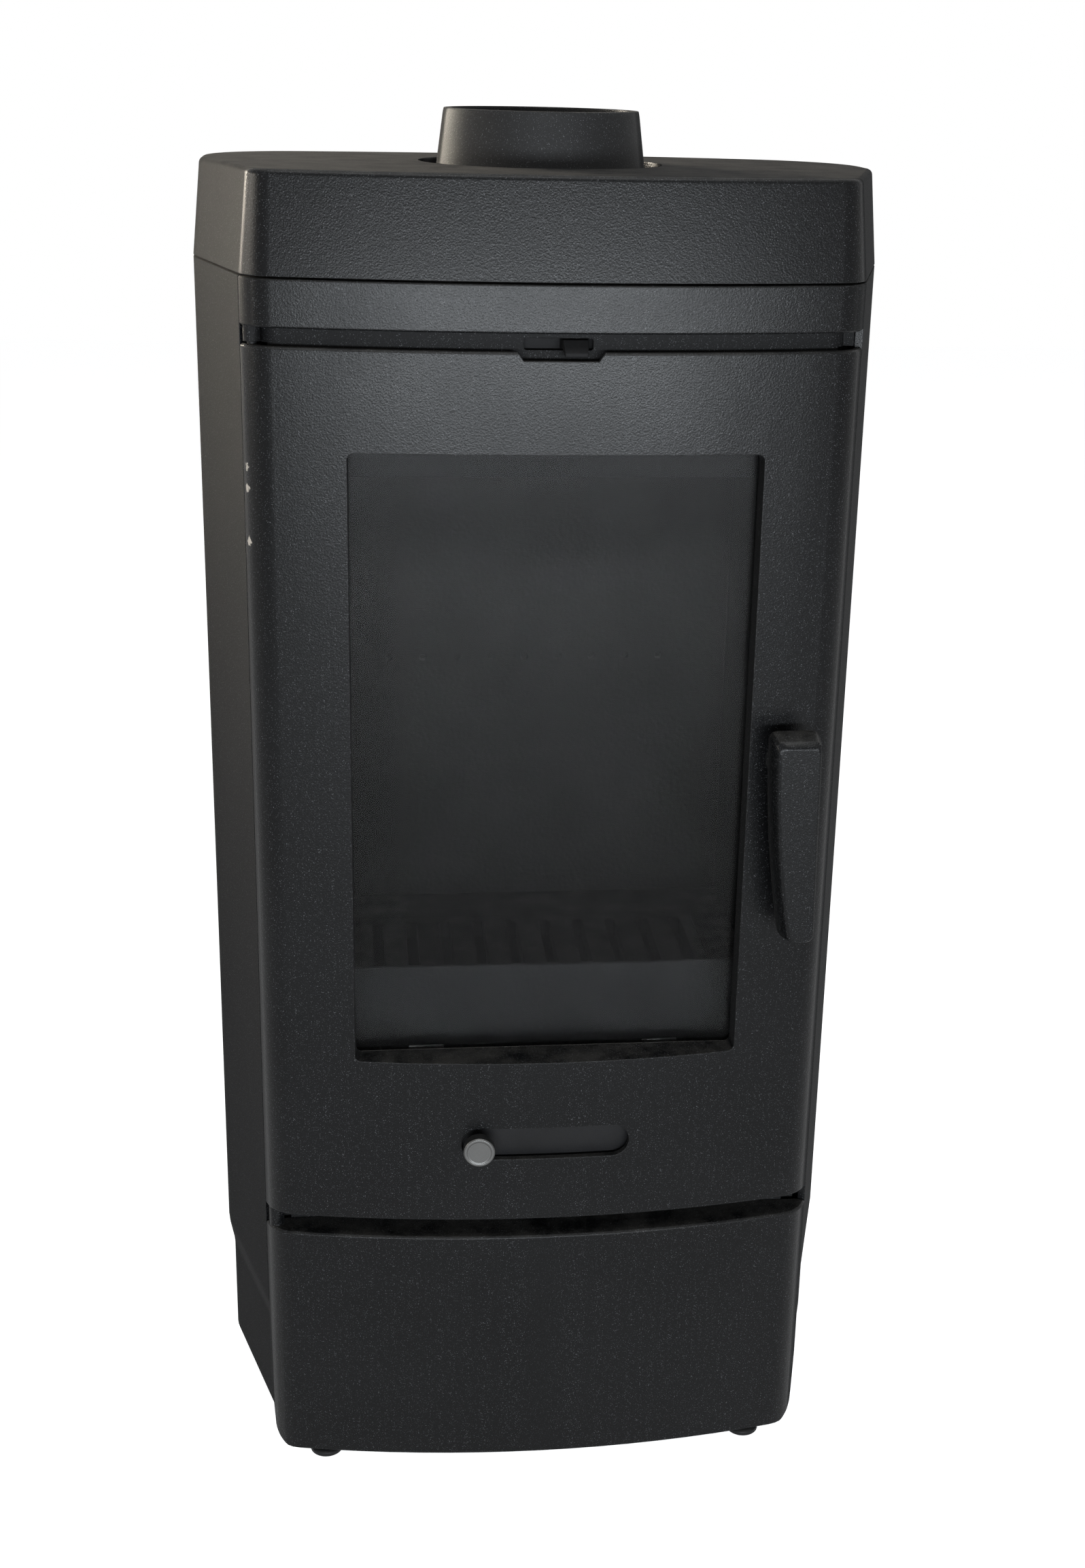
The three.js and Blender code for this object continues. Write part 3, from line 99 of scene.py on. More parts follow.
def add_node(tree, kind, place, **values):
    """A shader node at a place in its tree, with its inputs fed and its settings set by name."""
    made = tree.nodes.new(kind)
    made.location = place
    for name, value in values.items():
        label = name.replace("_", " ").title()
        if label in made.inputs:
            feed(tree, value, made.inputs[label])
        else:
            setattr(made, name, value)
    return made


def work_out(tree, place, operation, *terms):
    """One step of arithmetic on outputs and plain numbers."""
    made = add_node(tree, "ShaderNodeMath", place, operation=operation)
    for term, socket in zip(terms, made.inputs):
        feed(tree, term, socket)
    return made.outputs[0]


def seen_directly(tree, place):
    """1 for rays from the camera, in gloss and through glass, and 0 for the room's own light."""
    x, y = place
    path = add_node(tree, "ShaderNodeLightPath", place).outputs
    gloss = work_out(tree, (x + 180, y), "MAXIMUM", path["Is Camera Ray"], path["Is Glossy Ray"])
    return work_out(tree, (x + 360, y), "MAXIMUM", gloss, path["Is Transmission Ray"])


def new_finish(name, roughness, sheen=0.5, metallic=0.0):
    """A material with its node tree and its Principled shader."""
    made = bpy.data.materials.new(name)
    made.use_nodes = True
    shader = made.node_tree.nodes["Principled BSDF"]
    shader.inputs["Roughness"].default_value = roughness
    shader.inputs["Specular IOR Level"].default_value = sheen
    shader.inputs["Metallic"].default_value = metallic
    return made, made.node_tree, shader


room = bpy.data.worlds.new("pale_room")
room.use_nodes = True
room_tree = room.node_tree
room_tree.nodes.clear()
room_light = add_node(
    room_tree, "ShaderNodeBackground", (0, -120), color=ROOM_COLOUR, strength=ROOM_LIGHT
)
room_white = add_node(room_tree, "ShaderNodeBackground", (0, -260), color=WHITE)
room_mix = add_node(room_tree, "ShaderNodeMixShader", (220, 0))
feed(room_tree, seen_directly(room_tree, (-640, 100)), room_mix.inputs[0])
feed(room_tree, room_light.outputs[0], room_mix.inputs[1])
feed(room_tree, room_white.outputs[0], room_mix.inputs[2])
add_node(room_tree, "ShaderNodeOutputWorld", (420, 0), surface=room_mix.outputs[0])
bpy.context.scene.world = room

floor_paint, floor_tree, floor_shader = new_finish("floor", 0.9, sheen=0.1)
floor_shader.inputs["Base Color"].default_value = FLOOR_COLOUR
floor_shader.inputs["Emission Color"].default_value = WHITE
floor_seen = seen_directly(floor_tree, (-760, -300))
floor_glow = work_out(floor_tree, (-200, -300), "MULTIPLY", floor_seen, FLOOR_GLOW)
feed(floor_tree, floor_glow, floor_shader.inputs["Emission Strength"])

bpy.ops.object.select_all(action="DESELECT")
bpy.ops.mesh.primitive_plane_add(size=FLOOR_SIZE, location=(0, 0, 0))
floor = bpy.context.object
floor.name = "floor"
floor.data.materials.append(floor_paint)


# ---- Studio lamps ----
# A wide low strip in front gives the castings their sheen under the cover. A soft lamp at the left
# and a narrower one behind it light the left side's upper half, and a weak one hangs above.


def add_lamp(name, place, aim, size, watts, colour, spread=180):
    """A rectangular soft lamp that faces its aim, with the spread of its light in degrees."""
    light = bpy.data.lights.new(name, "AREA")
    light.shape = "RECTANGLE"
    light.size, light.size_y = size
    light.energy = watts
    light.color = colour
    light.spread = math.radians(spread)
    made = bpy.data.objects.new(name, light)
    bpy.context.scene.collection.objects.link(made)
    made.matrix_world = (
        Matrix.Translation(place)
        @ (Vector(aim) - Vector(place)).to_track_quat("-Z", "Y").to_matrix().to_4x4()
    )


add_lamp("strip_front", (0.12, -3.6, 0.76), (0, 0, 0.76), (3.2, 0.35), 250, (0.90, 0.95, 1.0))
add_lamp("soft_left", (-3.0, 0.1, 1.3), (-0.2, 0, 1.15), (2.0, 0.8), 7.0, (1.0, 0.93, 0.82), 60)
add_lamp("rim_left", (-2.0, 2.4, 1.40), (-0.2, 0, 1.12), (1.8, 0.5), 7.5, (1.0, 0.90, 0.75), 30)
add_lamp("soft_above", (0, -0.6, 3.2), (0, 0, 0.9), (2.0, 1.6), 42, (0.98, 0.99, 1.0))


# ---- Front apron ----
# The fixed cast-iron skirt below the door. It is sand-cast grey iron, painted matt anthracite, as
# are the side panels, front frame, door, cover, collar and lever.

PAINT_DARK = (0.0014, 0.0015, 0.0016, 1)
PAINT_LIGHT = (0.0032, 0.0033, 0.0035, 1)
# Colour of the painted glints: tiny bright points in the paint's colour that stand in for its sparkle.
PAINT_GLINT = (0.046, 0.047, 0.049, 1)
PAINT_WORN = (0.055, 0.053, 0.051, 1)
PAINT_DUST = (0.11, 0.105, 0.095, 1)
PAINT_SHEEN = 0.095
PAINT_GLANCING = 1.0
CAST_EDGE = 0.0018
CAST_CORNER = math.radians(32)
LEAST_TURN = math.radians(0.4)


def shader_group(name, inputs, outputs):
    """An empty shader node group with named inputs, their defaults, and named outputs."""
    tree = bpy.data.node_groups.new(name, "ShaderNodeTree")
    for label, value in inputs.items():
        socket = tree.interface.new_socket(label, in_out="INPUT", socket_type="NodeSocketFloat")
        socket.default_value = value
    for label, kind in outputs.items():
        tree.interface.new_socket(label, in_out="OUTPUT", socket_type="NodeSocket" + kind)
    entry = add_node(tree, "NodeGroupInput", (-1200, 0))
    leave = add_node(tree, "NodeGroupOutput", (700, 0))
    return tree, entry.outputs, leave.inputs


def own_place(tree, place):
    """Where a point lies on the object."""
    return add_node(tree, "ShaderNodeTexCoord", place).outputs["Object"]


def vector_step(tree, place, operation, *terms):
    """The outputs of one step of arithmetic on vectors."""
    made = add_node(tree, "ShaderNodeVectorMath", place, operation=operation)
    for term, socket in zip(terms, made.inputs):
        feed(tree, term, socket)
    return made.outputs


def stretch(tree, place, value, low, high, new_low=0.0, new_high=1.0):
    """A value between low and high, carried over to a new range and kept inside it."""
    made = add_node(
        tree, "ShaderNodeMapRange", place,
        value=value, from_min=low, from_max=high, to_min=new_low, to_max=new_high,
    )
    return made.outputs[0]


def add_noise(tree, place, where, scale, detail, roughness=0.5):
    """Cloudy noise between 0 and 1."""
    made = add_node(
        tree, "ShaderNodeTexNoise", place,
        vector=where, scale=scale, detail=detail, roughness=roughness,
    )
    return made.outputs["Fac"]


def build_cast_grain():
    """The skin that sand leaves on iron: fine pits and broad patches, with small bright points painted
    in as glints.
    """
    tree, entry, leave = shader_group(
        "cast_grain",
        {"Pit Size": 0.0013, "Patch Size": 0.12},
        {"Height": "Float", "Tone": "Float", "Painted Glint": "Float"},
    )
    where = own_place(tree, (-1200, -300))
    pits_per_metre = work_out(tree, (-1000, 80), "DIVIDE", 1, entry["Pit Size"])
    patches_per_metre = work_out(tree, (-1000, -120), "DIVIDE", 1, entry["Patch Size"])
    # The finest noise gives the painted glints, bright points that stand in for the paint's sparkle.
    glints_per_metre = work_out(tree, (-880, -460), "MULTIPLY", pits_per_metre, 1.7)
    pits = add_noise(tree, (-700, 200), where, pits_per_metre, 3.0, 0.62)
    patches = add_noise(tree, (-700, -240), where, patches_per_metre, 3.0)
    glint_points = add_noise(tree, (-700, -460), where, glints_per_metre, 1.0)
    dimples = add_node(
        tree, "ShaderNodeTexVoronoi", (-700, 0),
        feature="SMOOTH_F1", vector=where, scale=pits_per_metre,
    )
    height = work_out(tree, (-300, 120), "MULTIPLY_ADD", dimples.outputs["Distance"], 0.6, pits)
    patchy = stretch(tree, (-300, -200), patches, 0.32, 0.68)
    pitted = stretch(tree, (-300, -60), pits, 0.30, 0.70, new_high=0.55)
    tone = work_out(tree, (-80, -140), "MULTIPLY_ADD", patchy, 0.75, pitted)
    feed(tree, height, leave["Height"])
    feed(tree, tone, leave["Tone"])
    feed(tree, stretch(tree, (-300, -460), glint_points, 0.66, 0.72), leave["Painted Glint"])
    return tree


def build_edge_wear():
    """Where an edge is rubbed: a broken line along it, and the edge's own soft normal."""
    tree, entry, leave = shader_group(
        "edge_wear",
        {"Width": 0.0012, "Breakup Size": 0.006, "Amount": 0.5},
        {"Mask": "Float", "Soft Normal": "Vector"},
    )
    where = own_place(tree, (-1200, -300))
    surface = add_node(tree, "ShaderNodeNewGeometry", (-700, -160))
    edge = add_node(tree, "ShaderNodeBevel", (-900, 60), samples=4, radius=entry["Width"])
    alike = vector_step(
        tree, (-480, 0), "DOT_PRODUCT", edge.outputs[0], surface.outputs["Normal"]
    )
    line = stretch(tree, (-260, 0), alike["Value"], 0.985, 0.80)
    breaks_per_metre = work_out(tree, (-1000, -480), "DIVIDE", 1, entry["Breakup Size"])
    breaks = add_noise(tree, (-760, -420), where, breaks_per_metre, 4.0, 0.65)
    broken = stretch(tree, (-480, -400), breaks, 0.48, 0.62)
    worn = work_out(tree, (0, -100), "MULTIPLY", line, broken)
    share = work_out(tree, (200, -100), "MULTIPLY", worn, entry["Amount"])
    feed(tree, share, leave["Mask"])
    feed(tree, edge.outputs[0], leave["Soft Normal"])
    return tree


def build_settled_dust():
    """Fine ash and dust that lies on faces turned upwards, in loose patches."""
    tree, entry, leave = shader_group(
        "settled_dust", {"Patch Size": 0.03, "Amount": 0.3}, {"Mask": "Float"}
    )
    where = own_place(tree, (-1200, -300))
    surface = add_node(tree, "ShaderNodeNewGeometry", (-1200, 200))
    upright = add_node(
        tree, "ShaderNodeSeparateXYZ", (-960, 200), vector=surface.outputs["Normal"]
    )
    facing_up = stretch(tree, (-740, 200), upright.outputs["Z"], 0.55, 0.95)
    patches_per_metre = work_out(tree, (-960, -120), "DIVIDE", 1, entry["Patch Size"])
    patches = add_noise(tree, (-740, -160), where, patches_per_metre, 5.0, 0.7)
    loose = stretch(tree, (-500, -160), patches, 0.35, 0.75)
    lying = work_out(tree, (-260, 60), "MULTIPLY", facing_up, loose)
    feed(tree, work_out(tree, (-60, 60), "MULTIPLY", lying, entry["Amount"]), leave["Mask"])
    return tree


cast_grain = build_cast_grain()
edge_wear = build_edge_wear()
settled_dust = build_settled_dust()


def use_group(tree, group, place, **values):
    """What a node group gives out in a material, with its own values."""
    return add_node(tree, "ShaderNodeGroup", place, node_tree=group, **values).outputs


def lay_coats(tree, shader, place, skin, *coats):
    """Lays the colour of each coat over the skin where its mask says, the last one on top."""
    x, y = place
    colour = skin
    for step, (mask, coat) in enumerate(coats):
        blend = add_node(
            tree, "ShaderNodeMix", (x + 200 * step, y), data_type="RGBA", clamp_factor=True
        )
        feed(tree, mask, blend.inputs[0])
        feed(tree, colour, blend.inputs[6])
        feed(tree, coat, blend.inputs[7])
        colour = blend.outputs[2]
    feed(tree, colour, shader.inputs["Base Color"])


def emboss(tree, shader, height, strength, depth, edge=None):
    """Gives the shader a height's relief, on the soft normal of its edges where it has one."""
    relief = add_node(
        tree, "ShaderNodeBump", (-400, -260), strength=strength, distance=depth, height=height
    )
    if edge:
        feed(tree, edge["Soft Normal"], relief.inputs["Normal"])
    feed(tree, relief.outputs[0], shader.inputs["Normal"])


def cast_paint(name, roughness=0.30, sheen=PAINT_SHEEN, wear=0.30, dust=0.22, relief=0.22):
    """Matt anthracite paint on sand-cast iron, with painted glints. It loses its shine where it is
    seen at a glance.
    """
    made, tree, shader = new_finish(name, roughness, sheen)
    grain = use_group(tree, cast_grain, (-1100, 200))
    edge = use_group(tree, edge_wear, (-1100, -160), amount=wear)
    ash = use_group(tree, settled_dust, (-1100, -420), amount=dust)
    # The coat after the tone is a painted glint: bright points that stand in for the paint's sparkle.
    lay_coats(
        tree, shader, (-800, 300), PAINT_DARK, (grain["Tone"], PAINT_LIGHT),
        (grain["Painted Glint"], PAINT_GLINT), (edge["Mask"], PAINT_WORN), (ash["Mask"], PAINT_DUST),
    )
    emboss(tree, shader, grain["Height"], relief, 0.0006, edge)
    gloss = stretch(tree, (-400, 60), grain["Tone"], 0, 1, roughness + 0.05, roughness - 0.05)
    turned_away = add_node(tree, "ShaderNodeLayerWeight", (-600, -60)).outputs["Facing"]
    duller = stretch(tree, (-400, -80), turned_away, 0.50, 0.80, new_high=PAINT_GLANCING)
    feed(tree, work_out(tree, (-200, 0), "MAXIMUM", duller, gloss), shader.inputs["Roughness"])
    return made


def leave_editing():
    """Object mode, with nothing selected."""
    if bpy.context.object and bpy.context.object.mode != "OBJECT":
        bpy.ops.object.mode_set(mode="OBJECT")
    bpy.ops.object.select_all(action="DESELECT")


def pick(piece):
    """piece alone selected and active."""
    leave_editing()
    piece.select_set(True)
    bpy.context.view_layer.objects.active = piece


def select_mesh():
    """Edit mode, with the whole of the picked piece selected."""
    bpy.ops.object.mode_set(mode="EDIT")
    bpy.ops.mesh.select_all(action="SELECT")


def clean_casting(node, name):
    """A node's own solid with its loose triangles merged, so that its curves can be shaded soft."""
    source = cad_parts[node]
    piece = bpy.data.objects.new(name, source.data.copy())
    bpy.context.scene.collection.objects.link(piece)
    pick(piece)
    select_mesh()
    bpy.ops.mesh.remove_doubles(threshold=0.00001)
    bpy.ops.mesh.dissolve_limited(angle_limit=LEAST_TURN)
    bpy.ops.object.mode_set(mode="OBJECT")
    return piece


def shape_by(piece, name, kind, **settings):
    """Shapes a piece by a modifier and applies it."""
    modifier = piece.modifiers.new(name, kind)
    for setting, value in settings.items():
        setattr(modifier, setting, value)
    bpy.ops.object.modifier_apply(modifier=name)


def round_edges(piece, width=CAST_EDGE, segments=3, corner=CAST_CORNER):
    """Rounds the sharp edges of a piece and shades the rest soft, with its flat faces kept flat."""
    pick(piece)
    shape_by(
        piece, "rounded", "BEVEL",
        width=width, segments=segments, limit_method="ANGLE", angle_limit=corner,
    )
    bpy.ops.object.shade_smooth_by_angle(angle=corner)
    shape_by(piece, "even", "WEIGHTED_NORMAL", keep_sharp=True)


def fit(piece, name, body, finish, node):
    """Puts a finished piece at the origin with its name and finish, on its body, for its node."""
    pick(piece)
    bpy.ops.object.transform_apply(location=True, rotation=True, scale=True)
    piece.name = name
    piece.data.name = name
    piece.data.materials.clear()
    piece.data.materials.append(finish)
    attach(piece, body)
    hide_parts(node)


def dress(node, name, body, slot, finish, **rounding):
    """Finishes a node's own solid, with its edges rounded."""
    piece = clean_casting(node, name)
    round_edges(piece, **rounding)
    fit(piece, name, body, finish, node)


castings_paint = cast_paint("castings_paint")

dress("front_apron", "apron", "stove_body", "cast_paint", castings_paint)


# ---- Feet and base plate ----
# Four steel levelling feet: a turned pad, a threaded stem and a nut that bears up against the cast
# base plate, which closes the body below.

PAD_HEIGHT = 0.006
PAD_FOOT_IN = 0.0015
PAD_FOOT_UP = 0.0012
PAD_TOP_IN = 0.0030
PAD_TOP_DOWN = 0.0016
PAD_ROUNDING = 0.0006
STEM_SEAT = 0.0010
STEM_SINK = 0.001
STEM_RADIUS = 0.0040
THREAD_DEPTH = 0.0006
THREAD_PITCH = 0.00125
NUT_RADIUS = 0.0064
NUT_HEIGHT = 0.006
NUT_PLAY = 0.0003
HEXAGON_ROUNDING = 0.07
HEXAGON_CORNER = math.radians(25)
BLACK_STEEL_DARK = (0.0028, 0.0028, 0.0030, 1)
BLACK_STEEL_LIGHT = (0.0062, 0.0062, 0.0066, 1)
BLACK_STEEL_WORN = (0.10, 0.098, 0.095, 1)
IRON_DARK = (0.0085, 0.0080, 0.0075, 1)
IRON_LIGHT = (0.0230, 0.0212, 0.0196, 1)
IRON_WORN = (0.060, 0.055, 0.050, 1)
IRON_DUST = (0.16, 0.155, 0.145, 1)


def black_steel(name, roughness=0.48, wear=0.45, dust=0.15):
    """Sheet or turned steel with a thin matt black coat, rubbed bright along its edges."""
    made, tree, shader = new_finish(name, roughness, sheen=0.10)
    grain = use_group(tree, cast_grain, (-1100, 200), pit_size=0.0009, patch_size=0.05)
    edge = use_group(tree, edge_wear, (-1100, -160), width=0.0007, breakup_size=0.004, amount=wear)
    ash = use_group(tree, settled_dust, (-1100, -420), amount=dust)
    lay_coats(
        tree, shader, (-800, 300), BLACK_STEEL_DARK, (grain["Tone"], BLACK_STEEL_LIGHT),
        (edge["Mask"], BLACK_STEEL_WORN), (ash["Mask"], PAINT_DUST),
    )
    feed(tree, edge["Mask"], shader.inputs["Metallic"])
    emboss(tree, shader, grain["Height"], 0.15, 0.0002, edge)
    return made


def bare_iron(name, dark=IRON_DARK, light=IRON_LIGHT, wear=0.25, dust=0.30, relief=0.7):
    """Unpainted sand-cast iron, dull with soot and heat, with fine ash on its upper faces."""
    made, tree, shader = new_finish(name, 0.78, sheen=0.25)
    grain = use_group(tree, cast_grain, (-1100, 200), pit_size=0.0034, patch_size=0.07)
    edge = use_group(tree, edge_wear, (-1100, -160), width=0.0014, amount=wear)
    ash = use_group(tree, settled_dust, (-1100, -420), patch_size=0.02, amount=dust)
    lay_coats(
        tree, shader, (-800, 300), dark, (grain["Tone"], light), (edge["Mask"], IRON_WORN),
        (ash["Mask"], IRON_DUST),
    )
    emboss(tree, shader, grain["Height"], relief, 0.0009, edge)
    return made


def start_outline(place):
    """Edit mode, with one point as the whole of a new mesh."""
    leave_editing()
    bpy.ops.mesh.primitive_plane_add(size=0.001, location=place)
    bpy.ops.object.mode_set(mode="EDIT")
    bpy.ops.mesh.select_mode(type="VERT")
    bpy.ops.mesh.merge(type="CENTER")


def draw_on(run):
    """Draws the selected end of a mesh on by a run."""
    bpy.ops.mesh.extrude_region_move(TRANSFORM_OT_translate={"value": run})


def close_up(threshold):
    """Merges a drawn mesh where it meets itself, turns its faces outwards and leaves edit mode."""
    bpy.ops.mesh.select_all(action="SELECT")
    bpy.ops.mesh.remove_doubles(threshold=threshold)
    bpy.ops.mesh.normals_make_consistent(inside=False)
    bpy.ops.object.mode_set(mode="OBJECT")


def turn_profile(profile, centre=Vector(), steps=64):
    """A solid turned about the upright line through centre, from its outline in radius and height."""
    (radius, height), *rest = profile
    start_outline(centre + Vector((radius, 0, height)))
    for next_radius, next_height in rest:
        draw_on((next_radius - radius, 0, next_height - height))
        radius, height = next_radius, next_height
    bpy.ops.mesh.select_all(action="SELECT")
    bpy.ops.mesh.spin(steps=steps, angle=math.tau, center=centre, axis=(0, 0, 1))
    close_up(0.00002)
    bpy.ops.object.transform_apply(location=True)
    return bpy.context.object


def hexagon(centre, radius, height):
    """A hexagonal nut or head with its corners chamfered, standing on its centre."""
    leave_editing()
    middle = centre + Vector((0, 0, height / 2))
    bpy.ops.mesh.primitive_cylinder_add(vertices=6, radius=radius, depth=height, location=middle)
    made = bpy.context.object
    round_edges(made, width=radius * HEXAGON_ROUNDING, segments=2, corner=HEXAGON_CORNER)
    return made


def merge_pieces(first, *others):
    """The pieces as one object, which keeps first."""
    pick(first)
    for other in others:
        other.select_set(True)
    bpy.ops.object.join()
    return first


def level_foot(centre, radius, plate_low, plate_high):
    """A levelling foot that stands on centre, with its nut under the base plate's lower face."""
    pad = turn_profile(
        [(0, 0), (radius - PAD_FOOT_IN, 0), (radius, PAD_FOOT_UP), (radius, PAD_HEIGHT - PAD_TOP_DOWN),
         (radius - PAD_TOP_IN, PAD_HEIGHT), (STEM_RADIUS + STEM_SEAT, PAD_HEIGHT), (0, PAD_HEIGHT)],
        centre,
    )
    round_edges(pad, width=PAD_ROUNDING)
    outline = [(0, PAD_HEIGHT - STEM_SINK)]
    for turn in range(int((plate_high - PAD_HEIGHT) / THREAD_PITCH)):
        level = PAD_HEIGHT + turn * THREAD_PITCH
        outline += [(STEM_RADIUS - THREAD_DEPTH, level), (STEM_RADIUS, level + THREAD_PITCH / 2)]
    outline += [(0, plate_high)]
    stem = turn_profile(outline, centre, steps=24)
    nut_foot = centre + Vector((0, 0, plate_low - NUT_PLAY - NUT_HEIGHT))
    nut = hexagon(nut_foot, NUT_RADIUS, NUT_HEIGHT)
    return merge_pieces(pad, stem, nut)


foot_steel = black_steel("foot_steel")
base_low, base_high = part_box("base_plate")
for place in ("front_left", "front_right", "rear_left", "rear_right"):
    foot_low, foot_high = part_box("foot_" + place)
    foot_radius = (foot_high.x - foot_low.x) / 2
    foot_middle = Vector(((foot_low.x + foot_high.x) / 2, (foot_low.y + foot_high.y) / 2, 0))
    foot = level_foot(foot_middle, foot_radius, base_low.z, base_high.z)
    fit(foot, "levelling_foot_" + place, "stove_body", foot_steel, "foot_" + place)

body_iron = bare_iron("body_iron", dust=0.12)
dress("base_plate", "base", "stove_body", "raw_iron", body_iron)


# ---- Side panels and back ----
# Two large painted castings close the sides, and an unpainted one the back. A bent steel heat
# shield stands off the back on four bolts.

SHIELD_EDGE = 0.0004
BOLT_RADIUS = 0.0030
BOLT_END_RADIUS = 0.0024
BOLT_END_CHAMFER = 0.0008
BOLT_EDGE = 0.0002
BOLT_HEAD_RADIUS = 0.0060
BOLT_HEAD_HEIGHT = 0.0040
WASHER_RADIUS = 0.0054
WASHER_HEIGHT = 0.0006
ZINC_DARK = (0.09, 0.09, 0.09, 1)
ZINC_LIGHT = (0.17, 0.17, 0.165, 1)


def zinc_steel(name, roughness=0.42):
    """Plain zinc-plated steel, slightly clouded."""
    made, tree, shader = new_finish(name, roughness, metallic=1.0)
    grain = use_group(tree, cast_grain, (-900, 200), pit_size=0.0006, patch_size=0.008)
    edge = use_group(tree, edge_wear, (-900, -160), width=0.0005)
    lay_coats(tree, shader, (-500, 300), ZINC_DARK, (grain["Tone"], ZINC_LIGHT))
    emboss(tree, shader, grain["Height"], 0.12, 0.0001, edge)
    return made


def hex_bolt(node, name, body, axis, finish):
    """A bolt in the place of its node, with a washer face under its hexagonal head."""
    low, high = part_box(node)
    middle = (low + high) / 2
    length = high.z - low.z if axis == "up" else high.y - low.y
    under_head = length - BOLT_HEAD_HEIGHT
    washer = under_head - WASHER_HEIGHT
    shank = turn_profile(
        [(0, 0), (BOLT_END_RADIUS, 0), (BOLT_RADIUS, BOLT_END_CHAMFER), (BOLT_RADIUS, washer),
         (WASHER_RADIUS, washer), (WASHER_RADIUS, under_head), (0, under_head)],
        steps=32,
    )
    round_edges(shank, width=BOLT_EDGE)
    head = hexagon(Vector((0, 0, under_head)), BOLT_HEAD_RADIUS, BOLT_HEAD_HEIGHT)
    bolt = merge_pieces(shank, head)
    if axis == "up":
        bolt.location = (middle.x, middle.y, low.z)
    else:
        bolt.rotation_euler.x = -math.pi / 2
        bolt.location = (middle.x, low.y, middle.z)
    fit(bolt, name, body, finish, node)


for side in ("left", "right"):
    dress("side_panel_" + side, "side_casting_" + side, "stove_body", "cast_paint", castings_paint)

dress("rear_panel", "back_casting", "stove_body", "raw_iron", body_iron)

sheet_steel = black_steel("sheet_steel", roughness=0.42, wear=0.30, dust=0.05)
dress("heat_shield", "shield_sheet", "stove_body", "black_steel", sheet_steel, width=SHIELD_EDGE)

bolt_steel = zinc_steel("bolt_steel")
for number in range(1, 5):
    hex_bolt(f"shield_bolt_{number}", f"back_bolt_{number}", "stove_body", "back", bolt_steel)


# ---- Front frame and airwash slide ----
# The painted casting behind the door carries the band and the recess above it. The airwash slide's
# tab stands out of a slot in the recess, over a notch in the door.

BOW_RADIUS = 1.059
RECESS_START = 0.0022
RECESS_DULLNESS = 0.65
TAB_EDGE = 0.0007
STRIP_EDGE = 0.0003

bow_centre = Vector((0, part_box("front_apron")[0].y + BOW_RADIUS, 0))


def copy_paint(paint, name):
    """A copy of a paint, with its node tree and its Principled shader."""
    made = paint.copy()
    made.name = name
    return made, made.node_tree, made.node_tree.nodes["Principled BSDF"]


def dull_recess(paint, name):
    """A copy of the casting paint that stays dull behind the line of the bowed front."""
    made, tree, shader = copy_paint(paint, name)
    shine = shader.inputs["Roughness"].links[0].from_socket
    where = own_place(tree, (-1300, -700))
    level = vector_step(tree, (-1100, -700), "MULTIPLY", where, (1, 1, 0))
    out = vector_step(tree, (-900, -700), "DISTANCE", level["Vector"], bow_centre)
    behind = stretch(
        tree, (-700, -700), out["Value"], BOW_RADIUS - RECESS_START, BOW_RADIUS - 2 * RECESS_START,
        new_high=RECESS_DULLNESS,
    )
    dullest = work_out(tree, (-100, -100), "MAXIMUM", behind, shine)
    feed(tree, dullest, shader.inputs["Roughness"])
    return made


frame_paint = dull_recess(castings_paint, "frame_paint")
dress("front_frame", "frame_casting", "stove_body", "cast_paint", frame_paint)

dull_steel = black_steel("dull_steel", roughness=0.70, wear=0.30, dust=0.05)
dress(
    "airwash_slider", "airwash_tab_plate", "airwash_tab", "black_steel", dull_steel, width=TAB_EDGE
)
for node in ("airwash_guide", "airwash_deflector"):
    dress(node, node + "_strip", "stove_body", "black_steel", sheet_steel, width=STRIP_EDGE)


# ---- Latch keeper ----
# A small zinc-plated steel angle stands on the frame beside the latch's nose, which catches on it.
# Two pan-head screws with a cross recess hold it.

KEEPER_EDGE = 0.0005
KEEPER_SCREW_RADIUS = 0.0036
SCREW_END = (0.40, 0.2)
SCREW_SHANK = 0.52
SCREW_HEAD_HEIGHT = 0.55
SCREW_HEAD_OUTLINE = ((1, 1), (1, 0.55), (0.75, 0.1), (0, 0))
SCREW_EDGE = 0.04
CROSS_LENGTH = 1.1
CROSS_WIDTH = 0.24
CROSS_DEPTH = 0.9


def take_away(piece, tool):
    """Cuts the tool's shape out of a piece."""
    pick(piece)
    shape_by(piece, "cut", "BOOLEAN", operation="DIFFERENCE", object=tool)
    bpy.data.objects.remove(tool)


def pan_screw(node, name, body, finish, radius, driven):
    """A pan-head screw in the place of its node, driven along +Y or -Y, in parts of its radius."""
    low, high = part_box(node)
    head = radius * SCREW_HEAD_HEIGHT
    length = high.y - low.y
    end_radius, end_length = SCREW_END
    outline = [(0, 0), (radius * end_radius, 0), (radius * SCREW_SHANK, radius * end_length)]
    outline += [(radius * SCREW_SHANK, length - head)]
    outline += [(radius * out, length - head * down) for out, down in SCREW_HEAD_OUTLINE]
    screw = turn_profile(outline, steps=32)
    round_edges(screw, width=radius * SCREW_EDGE)
    for turn in (0, math.pi / 2):
        leave_editing()
        bpy.ops.mesh.primitive_cube_add(size=1, location=(0, 0, length))
        slot = bpy.context.object
        slot.scale = (radius * CROSS_LENGTH, radius * CROSS_WIDTH, head * CROSS_DEPTH)
        slot.rotation_euler.z = turn
        take_away(screw, slot)
    bpy.ops.object.shade_smooth_by_angle(angle=CAST_CORNER)
    screw.rotation_euler.x = driven * math.pi / 2
    screw.location = ((low.x + high.x) / 2, high.y if driven > 0 else low.y, (low.z + high.z) / 2)
    fit(screw, name, body, finish, node)


